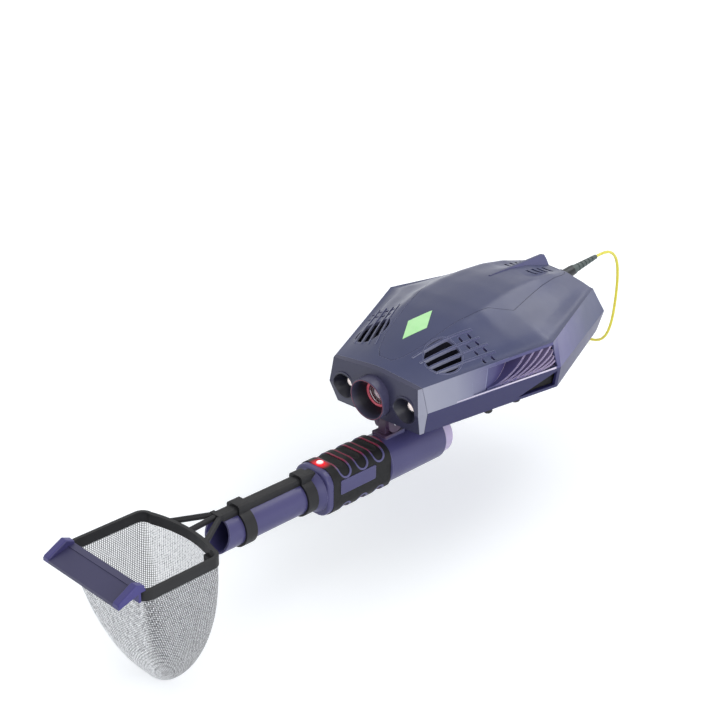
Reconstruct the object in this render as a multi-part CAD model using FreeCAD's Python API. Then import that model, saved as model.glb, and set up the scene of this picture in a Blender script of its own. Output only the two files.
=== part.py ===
"""Small inspection submersible with a clip-on sampling wand, a landing net and a coiled tether.

Frame: +Z up, nose towards -Y, port side +X. The origin is on the hull's middle plane at the
height of the chine, where the water's lift acts. All sizes are millimetres.
"""
import FreeCAD, Part
import math
import os

V = FreeCAD.Vector
os.makedirs("parts", exist_ok=True)

# ---------------------------------------------------------------- driving sizes
# hull plan: half widths at three levels, each as (y, half width) corners
nose_y = -124.0
tail_y = 126.0
seam_y = -115.0            # where the nose bezel meets the shells
shoulder_top_y = 3.6
shoulder_chine_y = 13.8
nose_top_half = 46.4
nose_flare = 4.6           # how much wider the chine is than the deck's edge
nose_tuck = 5.0            # how much narrower the belly is than the chine
nose_chine_half = nose_top_half + nose_flare
nose_belly_half = nose_chine_half - nose_tuck
shoulder_top_half = 93.3
shoulder_flare = 0.7
shoulder_tuck = 4.0
shoulder_chine_half = shoulder_top_half + shoulder_flare
shoulder_belly_half = shoulder_chine_half - shoulder_tuck
tail_top_half = 51.0
tail_flare = 11.5
tail_tuck = 6.5
tail_chine_half = tail_top_half + tail_flare
tail_belly_half = tail_chine_half - tail_tuck
belly_z = -20.6
end_rake = 4.5             # how far the nose and tail faces lean back at deck and belly
wall = 2.2                 # shell thickness
seam_gap = 0.3             # visible gap between moulded panels
fit_gap = 0.15             # clearance of an inserted piece all round
deck_rise = 34.0           # height of the straight side above the chine, before the deck trims it

# deck: crown height along the centre line, and the two raised ridges
crown_line = [(-124, 23.5), (-103, 31.5), (-83, 39.0), (-64, 45.0), (-44, 50.3), (-20, 53.3), (10, 54.5),
              (35, 53.6), (62, 50.5), (90, 44.5), (122, 33.5), (136, 28.0)]
edge_line = [(-124, 22.0), (3.6, 28.7), (122, 22.0), (136, 21.2)]
ridge_line = [(-124, 10.0), (-102, 19.0), (-68, 30.0), (-20, 35.0), (28, 32.0), (66, 29.5), (122, 22.0), (136, 20.0)]
ridge_drop = [(-124, 0.4), (-100, 1.5), (-60, 2.6), (60, 2.6), (136, 1.5)]
dish_line = [(-124, 0.0), (-60, 0.35), (30, 0.30), (122, 0.0), (136, 0.0)]
vent_dish = 3.0            # depth of the hollow beside the tail fin
vent_dish_y = 84.0
vent_dish_x = 15.0

# canopy panel and status window
canopy_half = [(7.0, -105.5), (13.0, -99.0), (21.0, -82.0), (26.0, -55.0), (36.0, -12.0), (49.0, 7.0),
               (28.0, 110.0), (24.0, 117.0)]
canopy_ledge = 4.0
ledge_thick = 1.5
window_centre_y = -63.5
window_half_length = 19.5
window_half_width = 10.5
window_thick = 1.4

# thrusters
lift_x = 40.0              # front vertical thrusters
lift_y = -78.0
lift_bore = 17.0
rear_lift_y = 90.0
rear_lift_bore = 14.0
drive_x = 40.0             # horizontal thrusters
drive_z = 0.0
drive_bore = 14.5
drive_front_y = 44.0
drive_motor_y = 62.0
drive_flare = 2.2
duct_wall = 1.4
tip_gap = 0.8              # between blade tips and the duct
motor_radius = 7.0
cup_gap = 0.05             # slip fit of a motor in its cup
motor_length = 14.0
shaft_radius = 1.5
shaft_gap = 0.05           # running clearance of a propeller hub on its shaft
hub_radius = 4.2
hub_length = 8.0
blade_count = 4
blade_thick = 1.3
vane_thick = 1.6

# front grilles in the deck over the vertical thrusters
bar_slant = 20.2           # degrees from the centre line, parallel to the hull's side
bar_pitch = 7.8
bar_width = 1.5
bar_rise = 0.8             # how far the bars stand proud of the deck
bar_depth = 3.0
bar_front_y = -95.0
bar_rear_y = -41.0
dash_length = 4.6
dash_width = 2.2
dash_rows_y = (-55.0, -47.0)

# side scoops
scoop_front_y = -72.0
scoop_depth = 34.0
scoop_floor = 2.2          # top of the divider shelf above the chine
scoop_lip = 3.2            # deck thickness left over the scoop
louvre_thick = 1.6
rib_count = 7
rib_pitch = 8.0
rib_thick = 1.5
rib_sweep = 42.0           # radius of a rib's curve
rib_inset = 1.0            # how far the ribs' edges stay inside the hull's side
slot_front_y = -26.0       # lower side opening: a long triangle
slot_top_z = -2.6
slot_floor_z = -17.6

# camera and lamps
camera_z = 1.5
camera_radius = 19.0
camera_front_y = -131.0
camera_rim = 1.6
camera_bore_depth = 15.0
lens_radius = 10.5
lamp_x = 35.0
lamp_z = -0.5
lamp_radius = 12.0
lamp_throat = 5.6
lamp_depth = 11.0

# tail fin and the vent slots beside it
fin_front_y = 35.0
fin_apex_y = 113.0
fin_apex_z = 46.5
fin_foot_y = 121.5
fin_half = 7.5
gill_count = 4
gill_pitch = 8.0
gill_width = 3.0
gill_inner_x = 8.6
gill_outer_x = 19.0
gill_sweep = 3.5

# sealed case, battery and board inside the hull
case_half_x = 30.0
case_front_y = -50.0
case_rear_y = 33.0
case_rim_z = 24.0
case_wall = 2.0
lid_thick = 3.0
pack_half_x = 20.0
pack_top_z = 8.0
board_z = 13.0
board_thick = 1.6
case_floor_z = -15.4
case_boss_x = 24.0
case_boss_front_y = -42.0
case_boss_rear_y = 24.0

# feet, plugs and screws under the belly
foot_x = 64.0
foot_front_y = -50.0
foot_rear_y = 78.0
foot_radius = 4.0
foot_height = 4.8
ballast_x = 73.0
ballast_y = -24.0
shell_screw_x = 52.0
shell_screw_front_y = -28.0
shell_screw_rear_y = 30.0
nose_screw_x = 19.5
nose_screw_y = -101.0
post_radius = 3.4
screw_radius = 1.5
screw_head_radius = 2.8
screw_head_height = 1.6
foot_hole_gap = 0.1

# bracket and tilt hinge under the nose
pin_y = -106.0
pin_z = -29.5
pin_radius = 2.5
pin_gap = 0.05
neck_half = 8.4
cheek_thick = 4.0
cheek_radius = 9.0
tongue_gap = 0.15
foot_thick = 1.8
foot_reach = 25.0          # how far the bracket's foot plate runs behind the pin

# wand, measured along its own axis: s forwards from the rear face of the cap, v upwards
wand_pitch = 7.0           # degrees, nose end up
wand_rear_y = -44.6
wand_rear_z = -70.4
cap_length = 12.0
cap_radius = 19.5
spigot_length = 9.0
housing_end = 84.0
housing_radius = 22.0
housing_wall = 2.4
housing_bulkhead = 3.0
grip_end = 153.0
grip_half_x = 20.3
grip_half_v = 21.3
grip_corner = 13.0
core_radius = 17.0
core_wall = 1.8
groove_radius = 7.3
groove_depth = 2.4
groove_places = (97.0, 117.0, 137.0)
channel_half = 5.6         # half width of a finger channel
channel_end = 18.2         # height of the middle of its round end, on the side of the grip
channel_depth = 1.0
inlay_width = 1.5
inlay_thick = 0.7
panel_start = 103.0
panel_end = 145.0
panel_low = -2.0
panel_high = 11.0
panel_thick = 1.2
button_place = 149.0
button_radius = 3.4
button_gap = 0.08
button_travel = 1.2
button_proud = 1.6
collar_end = 159.0
collar_half_x = 20.0
collar_half_v = 20.6
neck_end = 165.8
tube_radius = 14.3
tube_bore = 12.6
tube_end = 256.0
mouth_lead = 8.0           # how far the lower lip of the mouth stands ahead of the upper one
motor_front = 124.0
pump_motor_radius = 11.0
pump_motor_length = 26.0
impeller_start = 128.0
impeller_length = 10.0
impeller_radius = 13.8
outlet_count = 4
outlet_pitch = 6.0
cell_radius = 9.2
cell_length = 50.0
cell_start = 24.0
clip_places = (171.5, 238.0)
clip_width = 11.0
clip_thick = 2.0
rail_half = 5.5
rail_height = 5.0
rail_gap = 0.06
rail_start = 159.4
rail_end = 258.0
slide_travel = 12.0

# net
frame_rear = 293.0
frame_front = 366.0
frame_half = 47.0
frame_low = 10.0
frame_high = 18.5
frame_thick = 3.0
frame_bow = 6.0
frame_corner = 9.0
strut_reach = 22.0         # where the outer struts of the fork meet the rear bar
strut_radius = 2.4
lug_x = 35.0               # small rounded lug inside the rear bar
lug_radius = 6.0
lug_thick = 2.4
bag_depth = 111.0
bag_wall = 1.2
bag_seat = 0.8             # how far the bag's top edge sits inside the frame's outline
lip_length = 19.0
lip_thick = 2.0
lip_half = 45.0
ear_height = 7.0
ear_width = 7.0
ear_round = 1.3

# tether
cord_radius = 1.5
cord_z = 11.0
socket_length = 5.0        # how far the socket's flange stands behind the tail
socket_radius = 9.0
socket_barrel = 7.5
thread_radius = 5.9
thread_length = 10.0
nut_length = 15.0
nut_radius = 7.2
nut_gap = 0.08
plug_radius = 5.2
plug_neck = 4.3
plug_shoulder = 2.5
plug_end_y = 162.0
relief_end_y = 203.0
relief_radius = 4.4
relief_tip = 2.3
ground_z = -133.0          # the surface that the spare cord lies on
lie_z = ground_z + cord_radius
coil_radius = 25.3         # middle of the turns
coil_layers = 10
coil_rows = 10
tie_thick = 0.8
tie_width = 8.0
end_plug_radius = 4.5
end_plug_length = 19.0
end_boot_length = 6.0

# the cord from the strain relief to the coil, chosen by hand
cord_route = [(0, 203, 11), (0, 217, 11), (-1, 234, 5), (-3, 247, -9), (-6, 254, -32), (-10, 257, -62),
              (-16, 260, -92), (-28, 266, -116), (-48, 275, -129), (-72, 284, -131.5), (-102, 291, -131.5),
              (-134, 290, -131.5), (-160, 284, -130.7)]


# ---------------------------------------------------------------- small helpers
def box(x0, x1, y0, y1, z0, z1):
    return Part.makeBox(x1 - x0, y1 - y0, z1 - z0, V(x0, y0, z0))


def rod(radius, length, x, y, z, axis):
    return Part.makeCylinder(radius, length, V(x, y, z), axis)


def pipe(outer, inner, length, x, y, z, axis):
    return rod(outer, length, x, y, z, axis).cut(rod(inner, length, x, y, z, axis))


def cone(r0, r1, length, x, y, z, axis):
    return Part.makeCone(r0, r1, length, V(x, y, z), axis)


def mirrored(shape):
    return shape.mirror(V(0, 0, 0), V(1, 0, 0))


def joined(first, *others):
    result = first
    for other in others:
        result = result.fuse(other)
    return result.removeSplitter()


def group(shapes):
    return Part.makeCompound(shapes)


def save(name, shape):
    for solid in shape.Solids:
        if not solid.isValid():
            print("invalid solid in", name)
    shape.exportStep("parts/" + name + ".step")
    print(name, len(shape.Solids), "solids", round(shape.Volume), "mm3")


def prism(points, z0, z1):
    corners = [V(x, y, z0) for x, y in points]
    return Part.Face(Part.makePolygon(corners + corners[:1])).extrude(V(0, 0, z1 - z0))


def side_prism(points, x0, x1):
    corners = [V(x0, y, z) for y, z in points]
    return Part.Face(Part.makePolygon(corners + corners[:1])).extrude(V(x1 - x0, 0, 0))


def along(table, y):
    if y <= table[0][0]:
        return table[0][1]
    for (ya, a), (yb, b) in zip(table, table[1:]):
        if y <= yb:
            return a + (b - a) * (y - ya) / (yb - ya)
    return table[-1][1]


# ---------------------------------------------------------------- hull surfaces
beyond = 2 * shoulder_chine_half        # past the hull on every side
top_plan = [(nose_y, nose_top_half), (shoulder_top_y, shoulder_top_half), (tail_y, tail_top_half)]
chine_plan = [(nose_y, nose_chine_half), (shoulder_chine_y, shoulder_chine_half), (tail_y, tail_chine_half)]
belly_plan = [(nose_y, nose_belly_half), (shoulder_chine_y, shoulder_belly_half), (tail_y, tail_belly_half)]


def hull_walls(inset):
    """Straight-sided hull body up to well above the deck, drawn in by the inset all round."""
    stations = []
    for y in (nose_y + inset, shoulder_top_y, shoulder_chine_y, tail_y - inset):
        edge = along(edge_line, y)
        belly = along(belly_plan, y) - inset
        chine = along(chine_plan, y) - inset
        lean = (along(top_plan, y) - along(chine_plan, y)) / edge
        top = chine + lean * (edge + deck_rise)
        ring = [(belly, belly_z + inset), (chine, 0), (top, edge + deck_rise)]
        points = [V(x, y, z) for x, z in ring] + [V(-x, y, z) for x, z in reversed(ring)]
        stations.append(Part.makePolygon(points + points[:1]))
    body = Part.makeLoft(stations, True, True)
    for end_y, sense in ((nose_y + inset, 1), (tail_y - inset, -1)):
        for height in (22.0, belly_z):
            lean_y = end_y + sense * end_rake
            far_y = lean_y + sense * end_rake
            wedge = side_prism([(end_y, 0), (far_y, 2 * height), (end_y - sense * 30, 2 * height),
                                (end_y - sense * 30, 0)], -beyond, beyond)
            body = body.cut(wedge)
    return body


def deck_height(x, y):
    """Height of the deck: a crown between two soft ridges, then a dished slope down to the edge."""
    ridge = along(ridge_line, y)
    crown = along(crown_line, y)
    crest = crown - along(ridge_drop, y)
    edge = along(edge_line, y)
    side = along(top_plan, y)
    reach = abs(x)
    if reach <= ridge:
        height = crown - (crown - crest) * (reach / ridge) ** 2
    else:
        share = (reach - ridge) / (side - ridge)
        bend = along(dish_line, y)
        height = crest + (edge - crest) * share * (1 + bend * (1 - share))
    hollow = math.exp(-((reach - vent_dish_x) / 9.0) ** 2 - ((y - vent_dish_y) / 30.0) ** 2)
    return height - vent_dish * hollow


def deck_slab(top, bottom):
    """The slab between the deck surface lowered by two amounts, running out past the hull's sides."""
    rows = []
    lines = [nose_y - 14 + 6.5 * n for n in range(45)]
    for y in lines:
        ridge = along(ridge_line, y)
        side = along(top_plan, y)
        shares = [0.2, 0.45, 0.72, 1.0, 1.35]
        outer = [ridge + (side - ridge) * share for share in shares]
        inner = [0.35 * ridge, 0.7 * ridge, ridge]
        half = inner + outer
        xs = [-x for x in reversed(half)] + [0.0] + half
        rows.append([V(x, y, deck_height(x, y) - bottom) for x in xs])
    surface = Part.BSplineSurface()
    surface.interpolate(rows)
    return surface.toShape().extrude(V(0, 0, bottom - top))


clear_height = shoulder_chine_half      # taller than anything on the deck
above_deck = deck_slab(-clear_height, 0)
above_inner = deck_slab(-clear_height, wall)
body = hull_walls(0)
hull_outer = body.cut(above_deck)
hull_inner = hull_walls(wall).cut(above_inner)
hull_skin = hull_outer.cut(hull_inner)


# ---------------------------------------------------------------- canopy and window
def canopy_outline(inset):
    corners = [(max(x - inset, 0.5), y) for x, y in canopy_half]
    corners[0] = (corners[0][0], corners[0][1] + inset)
    corners[-1] = (corners[-1][0], corners[-1][1] - inset)
    return corners + [(-x, y) for x, y in reversed(corners)]


def window_outline(grow):
    return [(0, window_centre_y - window_half_length - 1.8 * grow), (window_half_width + grow, window_centre_y),
            (0, window_centre_y + window_half_length + 1.8 * grow), (-window_half_width - grow, window_centre_y)]


canopy_hole = prism(canopy_outline(0), 5, 70)
canopy = deck_slab(0, wall).common(prism(canopy_outline(seam_gap), 5, 70))
ledge_ring = prism(canopy_outline(-canopy_ledge), 5, 70).cut(prism(canopy_outline(canopy_ledge), 5, 70))
ledge = deck_slab(wall, wall + ledge_thick).common(ledge_ring).common(body)
status_window = deck_slab(-0.3, window_thick).common(prism(window_outline(0), 5, 70))
canopy = canopy.cut(deck_slab(-1, window_thick).common(prism(window_outline(fit_gap), 5, 70)))


# ---------------------------------------------------------------- deck grilles
def lift_bars(side):
    """The four parallel bars over one front thruster, as tall strips that slant with the hull's side."""
    strips = []
    turn = math.radians(bar_slant)
    for n in range(4):
        offset = (n - 1.5) * bar_pitch
        middle_x = lift_x + offset / math.cos(turn)
        corners = []
        for y, edge in ((bar_front_y, -1), (bar_rear_y, -1), (bar_rear_y, 1), (bar_front_y, 1)):
            x = middle_x + (y - lift_y) * math.tan(turn) + edge * bar_width / 2
            corners.append((side * x, y))
        strips.append(prism(corners, 5, 70))
    return strips


def dashes(side):
    """Short vent slots between the bars, behind the round opening."""
    slots = []
    turn = math.radians(bar_slant)
    for y in dash_rows_y:
        for n in range(4):
            x = lift_x + (n - 1) * bar_pitch / math.cos(turn) + (y - lift_y) * math.tan(turn)
            rise = dash_width / 2
            slots.append(box(side * x - dash_length / 2, side * x + dash_length / 2, y - rise, y + rise, 5, 70))
    return slots


def deck_grille(side):
    rim_outer = lift_bore - fit_gap
    rim = pipe(rim_outer, rim_outer - 1.2, 70, side * lift_x, lift_y, 5, V(0, 0, 1))
    rim = deck_slab(0, bar_depth).common(rim)
    inside = rod(rim_outer - 0.4, 70, side * lift_x, lift_y, 5, V(0, 0, 1))
    bars = deck_slab(-bar_rise, bar_depth - 1)
    pieces = [bars.common(strip).common(inside) for strip in lift_bars(side)]
    return joined(rim, *pieces)


# ---------------------------------------------------------------- side scoops
def side_at(y):
    return along(top_plan, y)


def ramp_points(shift):
    """Plan of the scoop's inner wall: it leaves the side gently and runs in behind the shoulder."""
    points = []
    steps = 9
    for n in range(steps):
        share = n / (steps - 1)
        y = scoop_front_y + share * (shoulder_top_y - 2 - scoop_front_y)
        x = min(side_at(y), along(chine_plan, y)) + 0.5 - scoop_depth * share ** 1.7 + shift
        points.append(V(x, y, 0))
    return points


def ramp_curve(shift):
    curve = Part.BSplineCurve()
    curve.interpolate(ramp_points(shift))
    return curve


def ramp_strip(shift_in, shift_out):
    """Plan face between two copies of the ramp line, moved sideways by the two amounts."""
    first = ramp_curve(shift_in)
    second = ramp_curve(shift_out)
    near = Part.makeLine(first.StartPoint, second.StartPoint)
    far = Part.makeLine(first.EndPoint, second.EndPoint)
    return Part.Face(Part.Wire([first.toShape(), far, second.toShape(), near]))


def scoop_plan(shift):
    """Plan face of the scoop, from the moved ramp line out past the hull's side."""
    ramp = ramp_curve(shift)
    outer_x = shoulder_chine_half + 8
    corners = [ramp.EndPoint, V(ramp.EndPoint.x, shoulder_chine_y, 0), V(outer_x, shoulder_chine_y, 0),
               V(outer_x, ramp.StartPoint.y, 0), ramp.StartPoint]
    edges = [ramp.toShape()] + [Part.makeLine(p, q) for p, q in zip(corners, corners[1:])]
    return Part.Face(Part.Wire(edges))


def raised(face, z0, z1):
    lifted = face.copy()
    lifted.translate(V(0, 0, z0))
    return lifted.extrude(V(0, 0, z1 - z0))


def scoop_void():
    """Port scoop: the space between the ramp and the open side, under the deck's lip."""
    space = raised(scoop_plan(0), scoop_floor, 40)
    slant = side_prism([(shoulder_top_y - 3, 41), (shoulder_chine_y - 3, scoop_floor - 1), (60, scoop_floor - 1),
                        (60, 41)], 20, beyond)
    return space.cut(slant).common(deck_slab(scoop_lip, clear_height))


def scoop_louvre(void):
    """Port louvre: the ramp wall, its floor shelf and a fan of curved ribs that reach out to the side."""
    wall_plate = raised(ramp_strip(-louvre_thick, 0), 0.0, 40).common(hull_inner)
    shelf = raised(scoop_plan(-louvre_thick), 0.0, scoop_floor).common(hull_inner)
    space = void.common(hull_walls(rib_inset))
    ribs = []
    centre_z = scoop_floor + rib_sweep - 0.2
    for n in range(rib_count):
        centre_y = scoop_front_y + 14 + rib_pitch * n
        arc = pipe(rib_sweep, rib_sweep - rib_thick, beyond, 0, centre_y, centre_z, V(1, 0, 0))
        arc = arc.common(box(0, beyond, centre_y, centre_y + rib_sweep, 0, centre_z - 5))
        ribs.append(space.common(arc))
    return joined(wall_plate.fuse(shelf), *ribs)


def lower_slot():
    return side_prism([(slot_front_y, slot_floor_z), (shoulder_chine_y - 3, slot_floor_z),
                       (shoulder_chine_y - 3, slot_top_z)], shoulder_chine_half - 30, beyond)


# ---------------------------------------------------------------- shells
duct_outer = lift_bore + duct_wall
rear_outer = rear_lift_bore + duct_wall
drive_outer = drive_bore + duct_wall
neck_screw_places = [(x, y) for x in (5.5, -5.5) for y in (pin_y + 13.0, pin_y + 21.0)]
feet_places = [(x, y) for x in (foot_x, -foot_x) for y in (foot_front_y, foot_rear_y)]
ballast_places = [(ballast_x, ballast_y), (-ballast_x, ballast_y)]
case_boss_places = [(x, y) for x in (case_boss_x, -case_boss_x) for y in (case_boss_front_y, case_boss_rear_y)]
shell_screw_places = [(x, y) for x in (shell_screw_x, -shell_screw_x) for y in (shell_screw_front_y, shell_screw_rear_y)]
shell_screw_places += [(nose_screw_x, nose_screw_y), (-nose_screw_x, nose_screw_y)]


def upper_shell():
    behind_seam = box(-beyond, beyond, seam_y, beyond, 0, beyond)
    shell = hull_skin.common(behind_seam)
    shell = shell.cut(canopy_hole).fuse(ledge.common(behind_seam))
    void = scoop_void()
    for side in (1, -1):
        shell = shell.cut(rod(lift_bore, 70, side * lift_x, lift_y, 5, V(0, 0, 1)))
        outside = deck_slab(-bar_rise, 0.3).cut(rod(lift_bore, 70, side * lift_x, lift_y, 5, V(0, 0, 1)))
        for strip in lift_bars(side):
            shell = shell.fuse(outside.common(strip))
        for slot in dashes(side):
            shell = shell.cut(slot)
        shell = shell.cut(void if side > 0 else mirrored(void))
        shell = shell.cut(rod(drive_outer + fit_gap, beyond, side * drive_x, drive_motor_y, drive_z, V(0, 1, 0)))
    shell = shell.cut(rod(socket_barrel + fit_gap, 60, 0, 100, cord_z, V(0, 1, 0)))
    for x, y in shell_screw_places:
        post = rod(post_radius, 80, x, y, 0, V(0, 0, 1)).common(hull_outer)
        shell = shell.fuse(post.cut(rod(screw_radius + foot_hole_gap, 6, x, y, -1, V(0, 0, 1))))
    return shell.removeSplitter()


def lower_shell():
    shell = hull_skin.common(box(-beyond, beyond, seam_y, beyond, -beyond, 0))
    for x, y in case_boss_places:
        shell = shell.fuse(rod(4, case_floor_z - belly_z - 1, x, y, belly_z + 1, V(0, 0, 1)))
    for x, y in shell_screw_places:
        shell = shell.fuse(rod(post_radius, -belly_z - 1, x, y, belly_z + 1, V(0, 0, 1)))
        shell = shell.cut(rod(screw_radius + foot_hole_gap, 40, x, y, belly_z - 2, V(0, 0, 1)))
    for side in (1, -1):
        shell = shell.cut(rod(duct_outer + fit_gap, 20, side * lift_x, lift_y, belly_z - 5, V(0, 0, 1)))
        slot = lower_slot()
        shell = shell.cut(slot if side > 0 else mirrored(slot))
        shell = shell.cut(rod(drive_outer + fit_gap, beyond, side * drive_x, drive_motor_y, drive_z, V(0, 1, 0)))
    shell = shell.cut(rod(rear_outer + fit_gap, 20, 0, rear_lift_y, belly_z - 5, V(0, 0, 1)))
    for x, y in neck_screw_places:
        shell = shell.cut(rod(screw_radius + foot_hole_gap, 10, x, y, belly_z - 2, V(0, 0, 1)))
    return shell.removeSplitter()


def nose_bezel():
    rear = seam_y - seam_gap
    body_front = hull_outer.common(box(-beyond, beyond, nose_y - 1, rear, -beyond, beyond))
    hollow = hull_walls(3.0).cut(deck_slab(-clear_height, 3.0))
    hollow = hollow.common(box(-beyond, beyond, nose_y + 4, 0, -beyond, beyond))
    shell = body_front.cut(hollow)
    spigot = hull_walls(wall + fit_gap).cut(deck_slab(-clear_height, wall + fit_gap))
    spigot = spigot.common(box(-beyond, beyond, rear - 4, seam_y + 4, -beyond, beyond))
    core = hull_walls(wall + 1.8).cut(deck_slab(-clear_height, wall + 1.8))
    spigot = spigot.cut(core)
    shell = shell.fuse(spigot)
    ahead = V(0, 1, 0)
    for x in (lamp_x, -lamp_x):
        shell = shell.fuse(rod(lamp_radius + 1.2, lamp_depth + 5, x, nose_y + 1.5, lamp_z, ahead))
    boss_length = rear - nose_y - 1.5
    shell = shell.fuse(rod(camera_radius + 1.6, boss_length, 0, nose_y + 1.5, camera_z, ahead).common(hull_outer))
    for x in (lamp_x, -lamp_x):
        shell = shell.cut(cone(lamp_radius, lamp_throat, lamp_depth, x, nose_y, lamp_z, ahead))
        shell = shell.cut(rod(lamp_throat, 30, x, nose_y, lamp_z, ahead))
    shell = shell.cut(rod(camera_radius + fit_gap, 60, 0, nose_y - 10, camera_z, ahead))
    return shell.removeSplitter()


# ---------------------------------------------------------------- camera and lamps
def camera_barrel():
    ahead = V(0, 1, 0)
    lens_y = camera_front_y + camera_bore_depth
    length = seam_y + 3 - camera_front_y
    body_tube = rod(camera_radius, length, 0, camera_front_y, camera_z, ahead)
    rear_tube = rod(lens_radius + 2, 12, 0, camera_front_y + length, camera_z, ahead)
    barrel = body_tube.fuse(rear_tube)
    mouth = camera_radius - camera_rim
    barrel = barrel.cut(cone(mouth, lens_radius + 1.5, camera_bore_depth - 1, 0, camera_front_y, camera_z, ahead))
    barrel = barrel.cut(rod(lens_radius + 0.1, 40, 0, lens_y - 1.5, camera_z, ahead))
    edges = [e for e in barrel.Edges if abs(e.BoundBox.YMin - camera_front_y) < 0.01
             and abs(e.BoundBox.YMax - camera_front_y) < 0.01]
    return barrel.makeFillet(0.6, edges).removeSplitter()


def camera_window():
    lens_y = camera_front_y + camera_bore_depth
    disc = rod(lens_radius, 2.0, 0, lens_y, camera_z, V(0, 1, 0))
    dome = Part.makeSphere(26.0, V(0, lens_y + 24.2, camera_z)).common(
        rod(lens_radius - 1.5, 6, 0, lens_y - 5.9, camera_z, V(0, 1, 0)))
    return disc.fuse(dome).removeSplitter()


def camera_module():
    ahead = V(0, 1, 0)
    start = camera_front_y + camera_bore_depth + 2.3
    lens = rod(5.0, 4.0, 0, start, camera_z, ahead)
    flange = rod(lens_radius, 2.5, 0, start + 4, camera_z, ahead)
    back_half = 0.68 * lens_radius
    back_box = box(-back_half, back_half, start + 6.5, start + 20, camera_z - back_half, camera_z + back_half)
    return joined(lens, flange, back_box)


def lamp_lens(x):
    start = nose_y + lamp_depth + 0.2
    disc = rod(lamp_throat - 0.1, 2.5, x, start, lamp_z, V(0, 1, 0))
    dome = Part.makeSphere(7.2, V(x, start + 5.0, lamp_z)).common(
        rod(4.6, 4, x, start - 3, lamp_z, V(0, 1, 0)))
    return disc.fuse(dome).removeSplitter()


def lamp_module(x):
    ahead = V(0, 1, 0)
    throat_start = nose_y + lamp_depth + 3.0
    boss_end = nose_y + 1.5 + lamp_depth + 5
    stem = rod(lamp_throat - 0.1, boss_end - throat_start, x, throat_start, lamp_z, ahead)
    head = rod(9.0, 6.0, x, boss_end, lamp_z, ahead)
    return stem.fuse(head).removeSplitter()


# ---------------------------------------------------------------- thrusters
def laid_back(shape):
    """Turn a thruster part built along +Z so that it points along +Y."""
    turned = shape.copy()
    turned.rotate(V(0, 0, 0), V(1, 0, 0), -90)
    return turned


def vane_cross(bore, z0, height):
    vanes = box(-bore - 0.3, bore + 0.3, -vane_thick / 2, vane_thick / 2, z0, z0 + height)
    cross = vanes.copy()
    cross.rotate(V(0, 0, 0), V(0, 0, 1), 90)
    return vanes.fuse(cross)


def thruster_duct(bore, length, vane_z, flare):
    """Tube with a cross of vanes and a cup for the motor, along +Z from z = 0; flare widens its mouth."""
    tube = rod(bore + duct_wall, length, 0, 0, 0, V(0, 0, 1))
    if flare:
        tube = tube.fuse(cone(bore + duct_wall + flare, bore + duct_wall, 6, 0, 0, 0, V(0, 0, 1)))
    tube = tube.cut(rod(bore, length + 2, 0, 0, -1, V(0, 0, 1)))
    if flare:
        tube = tube.cut(cone(bore + flare, bore, 6, 0, 0, 0, V(0, 0, 1)))
    cup = pipe(motor_radius + 1.4, motor_radius + cup_gap, 5, 0, 0, vane_z, V(0, 0, 1))
    floor = rod(motor_radius + 1.4, 1.4, 0, 0, vane_z - 1.4, V(0, 0, 1))
    vanes = vane_cross(bore, vane_z - 1.4, 5).cut(rod(motor_radius + 0.7, 9, 0, 0, vane_z - 2, V(0, 0, 1)))
    return joined(tube, vanes, cup, floor)


def motor():
    """Motor can with its shaft, along +Z from the floor of its cup at z = 0."""
    can = rod(motor_radius, motor_length, 0, 0, 0, V(0, 0, 1))
    nose = cone(motor_radius, motor_radius - 1.5, 1.5, 0, 0, motor_length, V(0, 0, 1))
    shaft = rod(shaft_radius, 7.2, 0, 0, motor_length + 1.5, V(0, 0, 1))
    return joined(can, nose, shaft)


def propeller(bore, hand):
    """Four-bladed rotor; its hub starts at z = 0 and runs on the motor's shaft."""
    reach = bore - tip_gap
    hub = rod(hub_radius, hub_length - 2, 0, 0, 0, V(0, 0, 1))
    hub = hub.fuse(cone(hub_radius, hub_radius - 2, 2, 0, 0, hub_length - 2, V(0, 0, 1)))
    rotor = hub
    for n in range(blade_count):
        chord_in = 6.5
        chord_out = 9.0
        outline = [(hub_radius - 1.5, -chord_in / 2), (reach * 0.75, -chord_out / 2), (reach + 1, -chord_out / 2),
                   (reach + 1, chord_out / 2 - 2), (hub_radius - 1.5, chord_in / 2)]
        blade = prism(outline, -blade_thick / 2, blade_thick / 2)
        blade.rotate(V(0, 0, 0), V(1, 0, 0), hand * 32)
        blade.translate(V(0, 0, hub_length / 2 - 0.5))
        blade.rotate(V(0, 0, 0), V(0, 0, 1), n * 360 / blade_count)
        rotor = rotor.fuse(blade)
    rotor = rotor.common(rod(reach, 20, 0, 0, -5, V(0, 0, 1)))
    return rotor.cut(rod(shaft_radius + shaft_gap, 7.2, 0, 0, -0.01, V(0, 0, 1))).removeSplitter()


def moved(shape, x, y, z):
    result = shape.copy()
    result.translate(V(x, y, z))
    return result


lift_vane_z = 6.0          # floor of the motor cup above the belly
prop_above_cup = motor_length + 2.0
motors = []


def save_lift_thruster(name, x, y, bore, hand):
    top = hull_inner.optimalBoundingBox().ZMax - belly_z
    duct = thruster_duct(bore, top, lift_vane_z, 0)
    roof = wall + ledge_thick if y > 0 else wall
    duct = moved(duct, abs(x), y, belly_z).common(deck_slab(roof, clear_height)).cut(ledge)
    duct = duct if x >= 0 else mirrored(duct)
    save(name + "_duct", duct)
    motors.append(moved(motor(), x, y, belly_z + lift_vane_z))
    save(name + "_propeller", moved(propeller(bore, hand), x, y, belly_z + lift_vane_z + prop_above_cup))


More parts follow.
